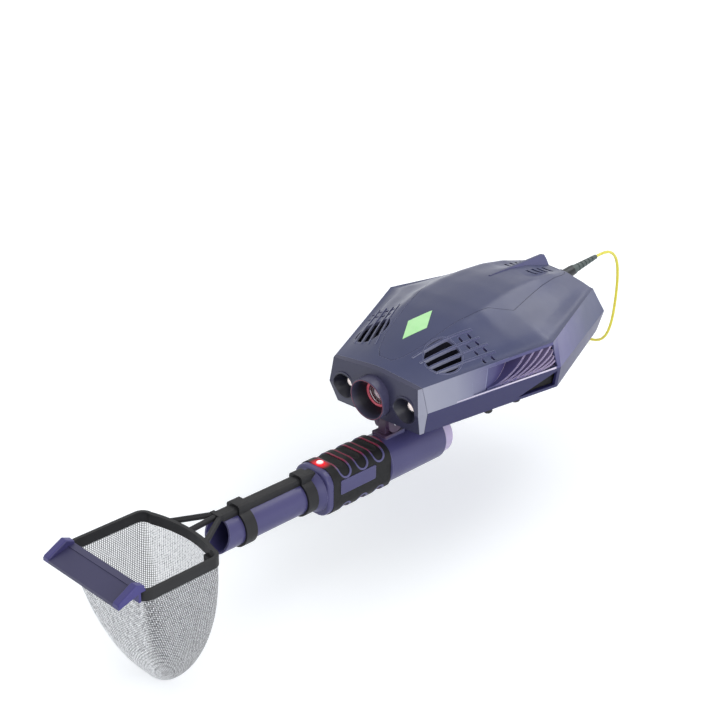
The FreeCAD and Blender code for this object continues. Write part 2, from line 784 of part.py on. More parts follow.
def save_drive_thruster(name, x, hand):
    length = tail_y - drive_front_y
    cup_z = drive_motor_y - drive_front_y
    duct = laid_back(thruster_duct(drive_bore, length, cup_z, drive_flare))
    duct = moved(duct, x, drive_front_y, drive_z).common(hull_outer)
    save(name + "_duct", duct)
    motors.append(moved(laid_back(motor()), x, drive_motor_y, drive_z))
    rotor = laid_back(propeller(drive_bore, hand))
    save(name + "_propeller", moved(rotor, x, drive_motor_y + prop_above_cup, drive_z))


# ---------------------------------------------------------------- tail fin and rear vents
def tail_fin():
    """Blade on the centre line: it grows out of the crown and ends in a raked trailing edge."""
    front_z = along(crown_line, fin_front_y)
    profile = [(fin_front_y, front_z + 0.4), (fin_apex_y, fin_apex_z), (fin_apex_y + 2.5, fin_apex_z - 1.0),
               (fin_foot_y, 30.0), (fin_foot_y, 25.0), (fin_front_y, 45.0)]
    blade = side_prism(profile, -fin_half, fin_half)
    flanks = []
    for side in (1, -1):
        corners = [V(side * 0.5, fin_front_y, front_z + 1.5), V(side * 1.0, fin_apex_y + 3, fin_apex_z + 0.5),
                   V(side * fin_half, fin_apex_y + 8, 24.0), V(side * 3.5, fin_front_y, 40.0)]
        flanks.append(corners)
    starboard, port = flanks[1], flanks[0]
    front = Part.makePolygon([port[0], port[3], starboard[3], starboard[0], port[0]])
    rear = Part.makePolygon([port[1], port[2], starboard[2], starboard[1], port[1]])
    wedge = Part.makeLoft([front, rear], True, True)
    return blade.common(wedge).common(deck_slab(-20, 0)).removeSplitter()


def gills():
    """Swept vent slots each side of the fin, over the rear vertical thruster."""
    slots = []
    for side in (1, -1):
        for n in range(gill_count):
            y = rear_lift_y + (n - (gill_count - 1) / 2) * gill_pitch - gill_width / 2
            far_y = y + gill_sweep
            corners = [(side * gill_inner_x, y), (side * gill_outer_x, far_y),
                       (side * gill_outer_x, far_y + gill_width), (side * gill_inner_x, y + gill_width)]
            slots.append(prism(corners, 20, 70))
    return slots


# ---------------------------------------------------------------- inside the hull
def electronics_case():
    shell = box(-case_half_x, case_half_x, case_front_y, case_rear_y, case_floor_z, case_rim_z)
    shell = shell.makeFillet(4, [e for e in shell.Edges if abs(e.BoundBox.ZMax - e.BoundBox.ZMin) > 10])
    inner = box(-case_half_x + case_wall, case_half_x - case_wall, case_front_y + case_wall,
                case_rear_y - case_wall, case_floor_z + case_wall, case_rim_z + 1)
    shell = shell.cut(inner)
    floor = case_floor_z + case_wall
    for x in (25.0, -25.0):
        for y in (case_front_y + 6, case_rear_y - 6):
            shell = shell.fuse(rod(2.2, board_z - floor, x, y, floor, V(0, 0, 1)))
    return shell.removeSplitter()


def case_lid():
    plate = box(-case_half_x, case_half_x, case_front_y, case_rear_y, case_rim_z, case_rim_z + lid_thick)
    plate = plate.makeFillet(4, [e for e in plate.Edges if abs(e.BoundBox.ZMax - e.BoundBox.ZMin) > 2])
    return plate.fuse(box(-case_half_x + case_wall + fit_gap, case_half_x - case_wall - fit_gap,
                          case_front_y + case_wall + fit_gap, case_rear_y - case_wall - fit_gap,
                          case_rim_z - 2, case_rim_z)).removeSplitter()


def battery_pack():
    floor = case_floor_z + case_wall
    pack = box(-pack_half_x, pack_half_x, case_front_y + 10, case_rear_y - 12, floor, pack_top_z)
    return pack.makeFillet(3, [e for e in pack.Edges if e.Length > 60])


def main_board():
    board = box(-27.0, 27.0, case_front_y + 3, case_rear_y - 3, board_z, board_z + board_thick)
    for x, y, w, h in ((-10, -30, 12, 2.0), (8, -8, 16, 1.6), (-12, 12, 10, 2.4), (14, 20, 8, 3.0)):
        board = board.fuse(box(x - w / 2, x + w / 2, y - w / 2, y + w / 2, board_z + board_thick - 0.1,
                               board_z + board_thick + h))
    return board.removeSplitter()


def cap_screw(x, y, seat_z, length):
    """Pan-head screw driven upwards, its head under the seat."""
    shank = rod(screw_radius, length, x, y, seat_z, V(0, 0, 1))
    head = rod(screw_head_radius, screw_head_height, x, y, seat_z - screw_head_height, V(0, 0, 1))
    socket = rod(1.2, 1.0, x, y, seat_z - screw_head_height - 0.01, V(0, 0, 1))
    return shank.fuse(head).cut(socket)


def shell_screws():
    return group([cap_screw(x, y, belly_z, 5 - belly_z) for x, y in shell_screw_places])


def belly_feet():
    feet = []
    for x, y in feet_places:
        tip_height = 1.2
        stem_low = belly_z - foot_height + tip_height
        stem = rod(foot_radius, belly_z - stem_low, x, y, stem_low, V(0, 0, 1))
        tip = cone(foot_radius, foot_radius - 1, tip_height, x, y, stem_low, V(0, 0, -1))
        feet.append(stem.fuse(tip).removeSplitter())
    return group(feet)


def ballast_plugs():
    plugs = []
    for x, y in ballast_places:
        plugs.append(cone(5.0, 4.2, 2.0, x, y, belly_z, V(0, 0, -1)))
    return group(plugs)


# ---------------------------------------------------------------- bracket
def neck_bracket():
    foot = box(-neck_half, neck_half, pin_y - cheek_radius, pin_y + foot_reach, belly_z - foot_thick, belly_z)
    bracket = foot
    for side in (1, -1):
        x0 = min(side * neck_half, side * (neck_half - cheek_thick))
        cheek = box(x0, x0 + cheek_thick, pin_y - cheek_radius, pin_y + cheek_radius, pin_z, belly_z)
        eye = rod(cheek_radius, cheek_thick, x0, pin_y, pin_z, V(1, 0, 0))
        cheek = cheek.fuse(eye.common(box(-40, 40, -200, 0, -60, belly_z)))
        bracket = bracket.fuse(cheek)
    tongue_room = rod(cheek_radius + 0.2, 2 * (neck_half - cheek_thick), -neck_half + cheek_thick, pin_y, pin_z,
                      V(1, 0, 0))
    bracket = bracket.cut(tongue_room.common(box(-40, 40, -200, 0, -60, belly_z - 0.3)))
    bracket = bracket.cut(rod(pin_radius, 40, -20, pin_y, pin_z, V(1, 0, 0)))
    for x, y in neck_screw_places:
        bracket = bracket.cut(rod(screw_radius + foot_hole_gap, 10, x, y, belly_z - 5, V(0, 0, 1)))
    return bracket.removeSplitter()


def neck_screws():
    screws = []
    for x, y in neck_screw_places:
        screws.append(cap_screw(x, y, belly_z - foot_thick, foot_thick + wall + 2))
    return group(screws)


def tilt_pin():
    pin = rod(pin_radius - 0.01, 2 * neck_half, -neck_half, pin_y, pin_z, V(1, 0, 0))
    return pin.cut(rod(1.2, 1.2, neck_half - 1.2, pin_y, pin_z, V(1, 0, 0)))


# ---------------------------------------------------------------- wand, in its own frame
pitch = math.radians(wand_pitch)
forward = V(0, -1, 0)
pin_ahead = (wand_rear_y - pin_y) * math.cos(pitch) + (pin_z - wand_rear_z) * math.sin(pitch)
pin_above = -(wand_rear_y - pin_y) * math.sin(pitch) + (pin_z - wand_rear_z) * math.cos(pitch)


def on_wand(shape):
    """Place a shape built along -Y from the origin on the pitched wand."""
    result = shape.copy()
    result.rotate(V(0, 0, 0), V(1, 0, 0), -wand_pitch)
    result.translate(V(0, wand_rear_y, wand_rear_z))
    return result


def shaft_piece(radius, start, end):
    return rod(radius, end - start, 0, -start, 0, forward)


def tube_piece(outer, inner, start, end):
    return shaft_piece(outer, start, end).cut(shaft_piece(inner, start, end))


def oval(half_x, half_v, corner, start, end):
    """Rounded rectangular bar along the wand."""
    bar = box(-half_x, half_x, -end, -start, -half_v, half_v)
    edges = [e for e in bar.Edges if e.BoundBox.YMax - e.BoundBox.YMin > (end - start) * 0.9]
    return bar.makeFillet(corner, edges)


def wand_housing():
    shell = shaft_piece(housing_radius, cap_length, housing_end)
    rims = [e for e in shell.Edges if e.BoundBox.YMax - e.BoundBox.YMin < 0.01]
    shell = shell.makeFillet(1.6, rims)
    bore = housing_radius - housing_wall
    shell = shell.cut(shaft_piece(bore, cap_length - 1, housing_end - housing_bulkhead))
    shell = shell.cut(shaft_piece(core_radius - core_wall, housing_end - 10, housing_end + 1))
    tongue_half = neck_half - cheek_thick - tongue_gap
    tongue = box(-tongue_half, tongue_half, -pin_ahead - cheek_radius + 0.4, -pin_ahead + cheek_radius - 0.4,
                 housing_radius - 3, pin_above)
    tongue = tongue.fuse(rod(cheek_radius - 0.4, 2 * tongue_half, -tongue_half, -pin_ahead, pin_above, V(1, 0, 0)))
    saddle = box(-neck_half, neck_half, -pin_ahead - 13, -pin_ahead + 13, housing_radius - 3,
                 pin_above - cheek_radius - 0.4)
    saddle = saddle.makeFillet(2.0, [e for e in saddle.Edges if e.BoundBox.ZMax - e.BoundBox.ZMin > 3])
    add_on = tongue.fuse(saddle).cut(shaft_piece(housing_radius - 0.6, cap_length - 1, housing_end + 1))
    shell = shell.fuse(add_on)
    return shell.cut(rod(pin_radius + pin_gap, 40, -20, -pin_ahead, pin_above, V(1, 0, 0))).removeSplitter()


def end_cap():
    bore = housing_radius - housing_wall
    disc = shaft_piece(cap_radius, 0, cap_length - 0.2)
    disc = disc.makeFillet(1.5, [e for e in disc.Edges if e.BoundBox.YMax > -0.01])
    spigot = shaft_piece(bore - 0.08, cap_length - 0.3, cap_length + spigot_length)
    groove = tube_piece(bore + 1, bore - 1.6, cap_length + 3.5, cap_length + 6)
    cap = disc.fuse(spigot).cut(groove)
    cap = cap.cut(shaft_piece(bore - 4, cap_length - 4, cap_length + spigot_length + 1))
    slot = box(-12, 12, -2.0, 0.1, -1.5, 1.5)
    return cap.cut(slot).removeSplitter()


def cap_seal():
    bore = housing_radius - housing_wall
    return tube_piece(bore - 0.03, bore - 1.6, cap_length + 3.6, cap_length + 5.9)


def wand_cells():
    cells = []
    reach = (housing_radius - housing_wall - 0.3) - cell_radius
    for n in range(3):
        turn = math.radians(90 + 120 * n)
        cells.append(rod(cell_radius, cell_length, reach * math.cos(turn), -cell_start, reach * math.sin(turn),
                         forward))
    return group(cells)


def grip_skin(depth):
    """Outer layer of the grip, this deep."""
    inner = oval(grip_half_x - depth, grip_half_v - depth, grip_corner - depth, housing_end, grip_end + 1)
    return oval(grip_half_x, grip_half_v, grip_corner, housing_end + 0.2, grip_end).cut(inner)


def finger_channels(half):
    """Bars across the grip, over and under it, whose round ends reach down its sides."""
    bars = []
    for place in groove_places:
        bar = box(-30, 30, -place - half, -place + half, channel_end, 2 * grip_half_v)
        bar = bar.fuse(rod(half, 60, -30, -place, channel_end, V(1, 0, 0)))
        bars.append(bar)
        bars.append(bar.mirror(V(0, 0, 0), V(0, 0, 1)))
    return bars


def grip_inlays():
    """Violet rims around the finger channels, set into the grip's skin."""
    skin = grip_skin(inlay_thick)
    inner_bars = finger_channels(channel_half)
    outer_bars = finger_channels(channel_half + inlay_width)
    return group([skin.common(outer).cut(inner) for inner, outer in zip(inner_bars, outer_bars)])


def grip_sleeve():
    sleeve = oval(grip_half_x, grip_half_v, grip_corner, housing_end + 0.2, grip_end)
    sleeve = sleeve.cut(shaft_piece(core_radius + 0.05, housing_end - 1, grip_end + 1))
    for place in groove_places:
        for sense in (1, -1):
            centre = sense * (grip_half_v + groove_radius - groove_depth)
            sleeve = sleeve.cut(rod(groove_radius, 60, -30, -place, centre, V(1, 0, 0)))
    skin = grip_skin(channel_depth)
    for bar in finger_channels(channel_half):
        sleeve = sleeve.cut(skin.common(bar))
    sleeve = sleeve.cut(grip_inlays())
    hole = rod(button_radius + button_gap, 30, 0, -button_place, 0, V(0, 0, 1))
    sleeve = sleeve.cut(hole)
    pocket = box(grip_half_x - panel_thick, grip_half_x + 1, -panel_end, -panel_start, panel_low, panel_high)
    sleeve = sleeve.cut(pocket)
    for slot in outlet_slots():
        sleeve = sleeve.cut(slot)
    return sleeve.removeSplitter()


def outlet_slots():
    """Water outlets on the starboard side, through the grip and its core."""
    slots = []
    for n in range(outlet_count):
        v = (n - (outlet_count - 1) / 2) * outlet_pitch
        slots.append(box(-40, -core_radius + core_wall + 1.5, -impeller_start - impeller_length + 0.5,
                         -impeller_start - 0.5, v - 1.3, v + 1.3))
    return slots


def grip_panel():
    panel = box(grip_half_x - panel_thick, grip_half_x + 0.3, -panel_end + 0.2, -panel_start - 0.2,
                panel_low + 0.2, panel_high - 0.2)
    return panel.makeFillet(1.2, [e for e in panel.Edges if e.BoundBox.XMax - e.BoundBox.XMin > 1])


def grip_button():
    stem = rod(button_radius, grip_half_v + button_proud - core_radius - button_travel - 0.3, 0, -button_place,
               core_radius + button_travel + 0.3, V(0, 0, 1))
    return stem.makeFillet(1.2, [e for e in stem.Edges if e.BoundBox.ZMin > grip_half_v + button_proud - 0.01])


def mouth_cutter():
    """Everything ahead of the slanted mouth of the tube."""
    upper = tube_end
    lower = tube_end + mouth_lead
    reach = 2 * tube_radius
    lead = mouth_lead / 2
    return side_prism([(-upper + lead, reach), (-lower - lead, -reach), (-lower - 80, -reach), (-upper - 80, reach)],
                      -40, 40)


def suction_tube():
    core = tube_piece(core_radius, core_radius - core_wall, housing_end, grip_end + 1)
    collar = oval(collar_half_x, collar_half_v, grip_corner, grip_end, collar_end)
    collar = collar.makeFillet(2.0, [e for e in collar.Edges if e.BoundBox.YMax < -collar_end + 0.01])
    throat = core_radius - core_wall
    neck = cone(19.0, tube_radius, neck_end - collar_end, 0, -collar_end + 0.1, 0, forward)
    barrel = shaft_piece(tube_radius, grip_end, tube_end + mouth_lead + 5)
    body = core.fuse(collar).fuse(neck).fuse(barrel)
    body = body.cut(shaft_piece(tube_bore, impeller_start, tube_end + 40))
    body = body.cut(shaft_piece(throat, impeller_start - 2, impeller_start + impeller_length + 1))
    body = body.cut(cone(throat, tube_bore, 8, 0, -impeller_start - impeller_length - 0.9, 0, forward))
    body = body.cut(shaft_piece(throat, grip_end - 40, impeller_start - 1))
    body = body.fuse(shaft_piece(core_radius - 0.5, motor_front, motor_front + 2).cut(
        shaft_piece(shaft_radius + 0.4, motor_front - 1, motor_front + 3)))
    body = body.cut(mouth_cutter())
    channel = box(-rail_half - rail_gap, rail_half + rail_gap, -neck_end - 1, -collar_end - 0.1, 0,
                  tube_radius + rail_height + 8)
    body = body.cut(channel.cut(shaft_piece(tube_radius, collar_end, neck_end + 2)))
    for slot in outlet_slots():
        body = body.cut(slot)
    light_hole = rod(1.2, 4, 0, -collar_end - 0.5, collar_half_v - 3.2, V(0, 1, 0))
    return body.cut(light_hole).removeSplitter()


def pump_motor():
    start = motor_front - pump_motor_length
    can = shaft_piece(pump_motor_radius, start, motor_front)
    ring = tube_piece(core_radius - core_wall - 0.1, pump_motor_radius - 0.5, motor_front - 6, motor_front)
    return joined(can, ring, shaft_piece(shaft_radius, motor_front, impeller_start + impeller_length - 2))


def impeller():
    hub = shaft_piece(4.5, impeller_start + 0.5, impeller_start + impeller_length - 0.5)
    back_plate = shaft_piece(impeller_radius, impeller_start + 0.5, impeller_start + 1.7)
    rotor = hub.fuse(back_plate)
    for n in range(6):
        vane = box(3.5, impeller_radius, -impeller_start - impeller_length + 1.5, -impeller_start - 1.6, -0.6, 0.6)
        vane.rotate(V(4, 0, 0), V(0, 1, 0), 25)
        vane.rotate(V(0, 0, 0), V(0, 1, 0), 60 * n)
        rotor = rotor.fuse(vane)
    rotor = rotor.common(shaft_piece(impeller_radius, impeller_start, impeller_start + impeller_length))
    return rotor.cut(shaft_piece(shaft_radius + shaft_gap, impeller_start, impeller_start + impeller_length - 1.6))


def rail_section(grow, start, end):
    """Rail bar with a rounded top, its underside lying on the tube."""
    top = tube_radius + rail_height + grow
    bar = box(-rail_half - grow, rail_half + grow, -end, -start, 0, top)
    edges = [e for e in bar.Edges if e.BoundBox.ZMin > top - 0.01 and e.BoundBox.YMax - e.BoundBox.YMin > 5]
    return bar.makeFillet(3.2, edges)


def tube_clips():
    bands = []
    for place in clip_places:
        start = place - clip_width / 2
        end = place + clip_width / 2
        band = shaft_piece(tube_radius + clip_thick, start, end).fuse(rail_section(clip_thick, start, end))
        band = band.cut(shaft_piece(tube_radius + 0.02, start - 1, end + 1))
        band = band.cut(rail_section(rail_gap, start - 1, end + 1))
        bands.append(band.removeSplitter())
    return group(bands)


# ---------------------------------------------------------------- net, in the wand's frame
def frame_ring(inset, low, high):
    """Rounded rectangle of the net frame, its rear bar bowed back towards the tube."""
    half = frame_half - inset
    rear = frame_rear + inset
    front = frame_front - inset
    outline = box(-half, half, -front, -rear, low, high)
    corners = [e for e in outline.Edges if e.BoundBox.ZMax - e.BoundBox.ZMin > (high - low) * 0.9]
    outline = outline.makeFillet(max(frame_corner - inset, 1.0), corners)
    chord = half - frame_corner
    sag = frame_bow
    radius = (chord ** 2 + sag ** 2) / (2 * sag)
    disc = rod(radius, high - low, 0, -rear + sag - radius, low, V(0, 0, 1))
    bow = disc.common(box(-chord, chord, -rear - 0.5, -rear + sag + 1, low, high))
    return outline.fuse(bow).removeSplitter()


def rear_bow(x):
    """How far the rear bar stands out behind its corners at this place across."""
    return frame_bow * max(1 - (x / (frame_half - frame_corner)) ** 2, 0)


def net_frame():
    ring = frame_ring(0, frame_low, frame_high).cut(frame_ring(frame_thick, frame_low - 1, frame_high + 1))
    lug_front = frame_rear + bag_seat + bag_wall + 0.1 + lug_thick
    lug = rod(lug_radius, lug_thick, lug_x, -lug_front, frame_low - 1, V(0, 1, 0))
    lug = lug.common(box(0, 60, -400, -200, frame_low - lug_radius - 1, frame_low + 2))
    web = box(lug_x - lug_radius, lug_x + lug_radius, -lug_front, -frame_rear, frame_low, frame_low + 2)
    return joined(ring, lug, web)


def strut(start, end, radius):
    run = end.sub(start)
    return Part.makeCylinder(radius, run.Length, start, run)


def net_rail():
    bar = rail_section(0, rail_start, rail_end).cut(shaft_piece(tube_radius + rail_gap, rail_start - 1, rail_end + 1))
    middle = (tube_radius + tube_radius + rail_height) / 2
    bar = bar.fuse(box(-rail_half, rail_half, -rail_end - 4, -rail_end, tube_radius + 0.3, tube_radius + rail_height))
    fork = []
    for x in (-strut_reach, 0, strut_reach):
        target = V(x, -(frame_rear - rear_bow(x)) - 1.0, (frame_low + frame_high) / 2 + 1)
        start = V(math.copysign(3.0, x) if x else 0.0, -rail_end - 1, middle)
        fork.append(strut(start, target, strut_radius))
    blocker = frame_ring(0, frame_low - 2, frame_high + 2)
    for piece in fork:
        bar = bar.fuse(piece.cut(blocker))
    return bar.removeSplitter()


def bag_half_size(depth_share):
    return math.sqrt(max(1 - depth_share ** 2.3, 0.0))


def bag_solid(inset, depth):
    """Bag hanging straight down from the frame: its level cuts shrink like a parabola."""
    down = V(0, math.sin(pitch), -math.cos(pitch))
    centre_s = (frame_rear + frame_front) / 2
    half_x = frame_half - bag_seat - inset
    half_s = (frame_front - frame_rear) / 2 - bag_seat - inset
    top = frame_low
    sections = []
    for share in (0.0, 0.2, 0.4, 0.58, 0.74, 0.87, 0.96, 1.0):
        scale = max(bag_half_size(share), 0.10)
        corner = 6.0 + 22.0 * share * scale
        hx = half_x * scale
        hs = half_s * scale
        corner = min(corner, 0.9 * hs)
        drop = down * (depth * share)
        centre = V(0, -centre_s + drop.y, top + drop.z)
        sections.append(rounded_wire(hx, hs, corner, frame_bow * scale, centre))
    return Part.makeLoft(sections, True, False)


def rounded_wire(hx, hy, r, bow, centre):
    """Rounded rectangle parallel to the net frame, its rear side bowed outwards like the rear bar."""
    k = r * (1 - math.sqrt(0.5))
    edges = []
    spots = [(1, 1), (-1, 1), (-1, -1), (1, -1)]
    for n, (sx, sy) in enumerate(spots):
        nx, ny = spots[(n + 1) % 4]
        if n % 2 == 0:
            a = V(sx * hx, sy * (hy - r), 0)
            m = V(sx * (hx - k), sy * (hy - k), 0)
            b = V(sx * (hx - r), sy * hy, 0)
            c = V(nx * (hx - r), ny * hy, 0)
        else:
            a = V(sx * (hx - r), sy * hy, 0)
            m = V(sx * (hx - k), sy * (hy - k), 0)
            b = V(sx * hx, sy * (hy - r), 0)
            c = V(nx * hx, ny * (hy - r), 0)
        edges.append(Part.Arc(a + centre, m + centre, b + centre).toShape())
        if n == 0:
            edges.append(Part.Arc(b + centre, V(0, hy + bow, 0) + centre, c + centre).toShape())
        else:
            edges.append(Part.makeLine(b + centre, c + centre))
    return Part.Wire(edges)


def net_bag():
    outer = bag_solid(0.0, bag_depth)
    inner = bag_solid(bag_wall, bag_depth - bag_wall)
    return outer.cut(inner)


def front_lip():
    """Scoop lip clipped over the front bar, its two ends swollen into rounded ears."""
    high = frame_high + 0.02
    top = box(-lip_half, lip_half, -frame_front - lip_thick, -frame_front + frame_thick + 1, high, high + lip_thick)
    front = box(-lip_half, lip_half, -frame_front - lip_thick, -frame_front - 0.02, frame_low + 1, high + lip_thick)
    blade = side_prism([(-frame_front, high), (-frame_front, high + lip_thick),
                        (-frame_front - lip_length, high + lip_thick - 5), (-frame_front - lip_length, high - 5.6)],
                       -lip_half, lip_half)
    lip = top.fuse(front).fuse(blade)
    for side in (1, -1):
        profile = [(-frame_front + frame_thick + 1, high), (-frame_front + frame_thick + 1, high + lip_thick + 2),
                   (-frame_front - 3, high + ear_height), (-frame_front - lip_length, high - 1.5),
                   (-frame_front - lip_length, high - 5.6), (-frame_front, high)]
        x0 = side * lip_half - (ear_width if side > 0 else 0)
        ear = side_prism(profile, x0, x0 + ear_width)
        lip = lip.fuse(ear.makeFillet(ear_round, ear.Edges))
    room = frame_ring(-0.02, frame_low - 1, frame_high + 0.02)
    return lip.cut(room).removeSplitter()


# ---------------------------------------------------------------- tether
ahead = V(0, 1, 0)
socket_end_y = tail_y + socket_length


def tether_socket():
    """Bulkhead fitting in the tail: barrel through the shell, flange outside and a threaded spigot."""
    barrel = rod(socket_barrel, tail_y + 2 - 110, 0, 110, cord_z, ahead)
    flange = rod(socket_radius, socket_length + 8, 0, tail_y - 8, cord_z, ahead).cut(hull_outer)
    flange = flange.common(box(-40, 40, tail_y - end_rake, tail_y + 20, -40, 60))
    spigot = rod(thread_radius, thread_length, 0, socket_end_y, cord_z, ahead)
    fitting = barrel.fuse(flange).fuse(spigot)
    return fitting.cut(rod(thread_radius - 2.4, 60, 0, 108, cord_z, ahead)).removeSplitter()


def tether_nut():
    start = socket_end_y + 0.3
    nut = rod(nut_radius, nut_length, 0, start, cord_z, ahead)
    for n in range(12):
        turn = math.radians(30 * n)
        nut = nut.fuse(rod(0.9, nut_length - 3, nut_radius * math.cos(turn), start + 1.5,
                           cord_z + nut_radius * math.sin(turn), ahead))
    shoulder_y = socket_end_y + thread_length + plug_shoulder
    nut = nut.cut(rod(thread_radius + nut_gap, shoulder_y - start + 0.1, 0, start, cord_z, ahead))
    return nut.cut(rod(plug_neck + nut_gap, 40, 0, start, cord_z, ahead)).removeSplitter()


def tether_plug():
    """Plug on the cord: nose in the socket, shoulder under the nut, body behind it."""
    start = socket_end_y + thread_length
    nose = rod(thread_radius - 2.45, 6, 0, start - 6, cord_z, ahead)
    shoulder = rod(plug_radius, plug_shoulder, 0, start, cord_z, ahead)
    neck = rod(plug_neck, plug_end_y - start - plug_shoulder, 0, start + plug_shoulder, cord_z, ahead)
    nut_end = socket_end_y + 0.3 + nut_length
    body_part = rod(plug_radius, plug_end_y - nut_end - 0.3, 0, nut_end + 0.3, cord_z, ahead)
    return joined(nose, shoulder, neck, body_part)


def strain_relief():
    """Tapered rubber sleeve with a few relief grooves."""
    sleeve = cone(relief_radius, relief_tip, relief_end_y - plug_end_y, 0, plug_end_y, cord_z, ahead)
    sleeve = sleeve.fuse(rod(relief_radius + 0.5, 4, 0, plug_end_y, cord_z, ahead))
    for n in range(5):
        y = plug_end_y + 8 + 6 * n
        sleeve = sleeve.cut(pipe(relief_radius + 1, along([(plug_end_y, relief_radius), (relief_end_y, relief_tip)], y)
                                 - 0.6, 1.6, 0, y, cord_z, ahead))
    return sleeve.removeSplitter()


def tube_along(route, radius, label):
    """Round tube whose path is straight runs joined by tangent arcs."""
    points = [V(*p) for p in route]
    edges = []
    radii = []
    start = points[0]
    for before, here, after in zip(points, points[1:], points[2:]):
        back = before.sub(here)
        on = after.sub(here)
        half = (math.pi - back.getAngle(on)) / 2
        reach = 0.45 * min(back.Length, on.Length)
        radii.append(reach / math.tan(half))
        back.normalize()
        on.normalize()
        enter = here + back * reach
        leave = here + on * reach
        middle = (back + on).normalize()
        centre = here + middle * (radii[-1] / math.cos(half))
        edges.append(Part.LineSegment(start, enter).toShape())
        edges.append(Part.Arc(enter, centre - middle * radii[-1], leave).toShape())
        start = leave
    edges.append(Part.LineSegment(start, points[-1]).toShape())
    path = Part.Wire(edges)
    first = points[1].sub(points[0])
    section = Part.Wire([Part.makeCircle(radius, points[0], first)])
    tube = path.makePipeShell([section], True, False)
    expected = math.pi * radius ** 2 * path.Length
    print(label, "length", round(path.Length, 1), "smallest bend", round(min(radii), 1),
          "volume share", round(tube.Volume / expected, 4))
    return Part.Solid(tube) if tube.ShapeType == "Shell" else tube


coil_half = coil_layers * cord_radius
coil_outer = coil_radius + coil_half
coil_inner = coil_radius - coil_half
coil_low = ground_z + tie_thick
coil_high = coil_low + 2 * cord_radius * coil_rows
arrive = V(cord_route[-1][0] - cord_route[-2][0], cord_route[-1][1] - cord_route[-2][1], 0).normalize()
inward = V(-arrive.y, arrive.x, 0)
coil_centre = V(*cord_route[-1]) + inward * (coil_outer - cord_radius)
tail_along = V(0.0, 1.0, 0)
tail_from = V(coil_centre.x + coil_radius, coil_centre.y - 27.0, coil_high - cord_radius)
tail_route = [tail_from, tail_from + tail_along * 11, tail_from + tail_along * 23 + V(0, 0, 6),
              tail_from + tail_along * 32 + V(0, 0, 6)]


def ring_wall(outer, inner, low, high):
    return pipe(outer, inner, high - low, coil_centre.x, coil_centre.y, low, V(0, 0, 1))


def tether_coil():
    """Outer shape of the wound spare cord, with a short channel where the cord comes in."""
    coil = ring_wall(coil_outer, coil_inner, coil_low, coil_high)
    end = V(*cord_route[-1])
    before = V(*cord_route[-2])
    run = before.sub(end)
    channel = Part.makeCylinder(cord_radius, run.Length, end, run)
    corner = box(-2, 30, -cord_radius, cord_radius + 3, -4, 0)
    corner.rotate(V(0, 0, 0), V(0, 0, 1), math.degrees(math.atan2(run.y, run.x)))
    corner.translate(end)
    return coil.cut(channel.fuse(corner.common(ring_wall(coil_outer + 1, coil_outer - 2.99, coil_low - 1, end.z)))
                    ).removeSplitter()


def coil_ties():
    ties = []
    for turn in (200, 290):
        band = ring_wall(coil_outer + tie_thick, coil_inner - tie_thick, coil_low - tie_thick, coil_high + tie_thick)
        band = band.cut(ring_wall(coil_outer, coil_inner, coil_low, coil_high))
        strip = box(0, 60, -tie_width / 2, tie_width / 2, -200, 0)
        strip.rotate(V(0, 0, 0), V(0, 0, 1), turn)
        strip.translate(V(coil_centre.x, coil_centre.y, 0))
        ties.append(band.common(strip))
    return group(ties)


def tether_end_plug():
    start = tail_route[-1]
    boot = Part.makeCone(cord_radius + 0.6, end_plug_radius - 0.8, end_boot_length, start, tail_along)
    body_part = Part.makeCylinder(end_plug_radius, end_plug_length, start + tail_along * end_boot_length, tail_along)
    pins = []
    tip = start + tail_along * (end_boot_length + end_plug_length)
    for n in range(4):
        turn = math.radians(45 + 90 * n)
        offset = V(math.cos(turn) * 1.8, 0, math.sin(turn) * 1.8)
        pins.append(Part.makeCylinder(0.5, 5, tip + offset - tail_along, tail_along))
    collar = Part.makeCylinder(end_plug_radius - 0.7, 5, tip - tail_along, tail_along)
    collar = collar.cut(Part.makeCylinder(end_plug_radius - 1.5, 7, tip - tail_along * 0.001, tail_along))
    return joined(boot, body_part, collar, *pins)


# ---------------------------------------------------------------- build
save("upper_shell", upper_shell())
save("lower_shell", lower_shell())
save("nose_bezel", nose_bezel())
vents = gills()
roof = canopy
for vent in vents:
    roof = roof.cut(vent)
save("canopy_panel", roof.removeSplitter())
save("tail_fin", tail_fin())
save("status_window", status_window)
port_grille = deck_grille(1)
save("port_deck_grille", port_grille)
save("starboard_deck_grille", mirrored(port_grille))
port_louvre = scoop_louvre(scoop_void())
save("port_scoop_louvre", port_louvre)
save("starboard_scoop_louvre", mirrored(port_louvre))
save_lift_thruster("port_lift", lift_x, lift_y, lift_bore, 1)
save_lift_thruster("starboard_lift", -lift_x, lift_y, lift_bore, -1)
save_lift_thruster("rear_lift", 0, rear_lift_y, rear_lift_bore, 1)
save_drive_thruster("port_drive", drive_x, 1)
save_drive_thruster("starboard_drive", -drive_x, -1)
save("thruster_motors", group(motors))
save("camera_barrel", camera_barrel())
save("camera_window", camera_window())
save("camera_module", camera_module())
save("lamp_lenses", group([lamp_lens(lamp_x), lamp_lens(-lamp_x)]))
save("lamp_modules", group([lamp_module(lamp_x), lamp_module(-lamp_x)]))
save("electronics_case", electronics_case())
save("case_lid", case_lid())
save("battery_pack", battery_pack())
save("main_board", main_board())
save("belly_feet", belly_feet())
save("ballast_plugs", ballast_plugs())
save("shell_screws", shell_screws())
save("neck_bracket", neck_bracket())
save("neck_screws", neck_screws())
save("tilt_pin", tilt_pin())
save("wand_housing", on_wand(wand_housing()))
save("wand_cells", on_wand(wand_cells()))
save("end_cap", on_wand(end_cap()))
save("cap_seal", on_wand(cap_seal()))
save("grip_sleeve", on_wand(grip_sleeve()))
save("grip_panel", on_wand(grip_panel()))
save("grip_inlays", on_wand(grip_inlays()))
save("grip_button", on_wand(grip_button()))
save("suction_tube", on_wand(suction_tube()))
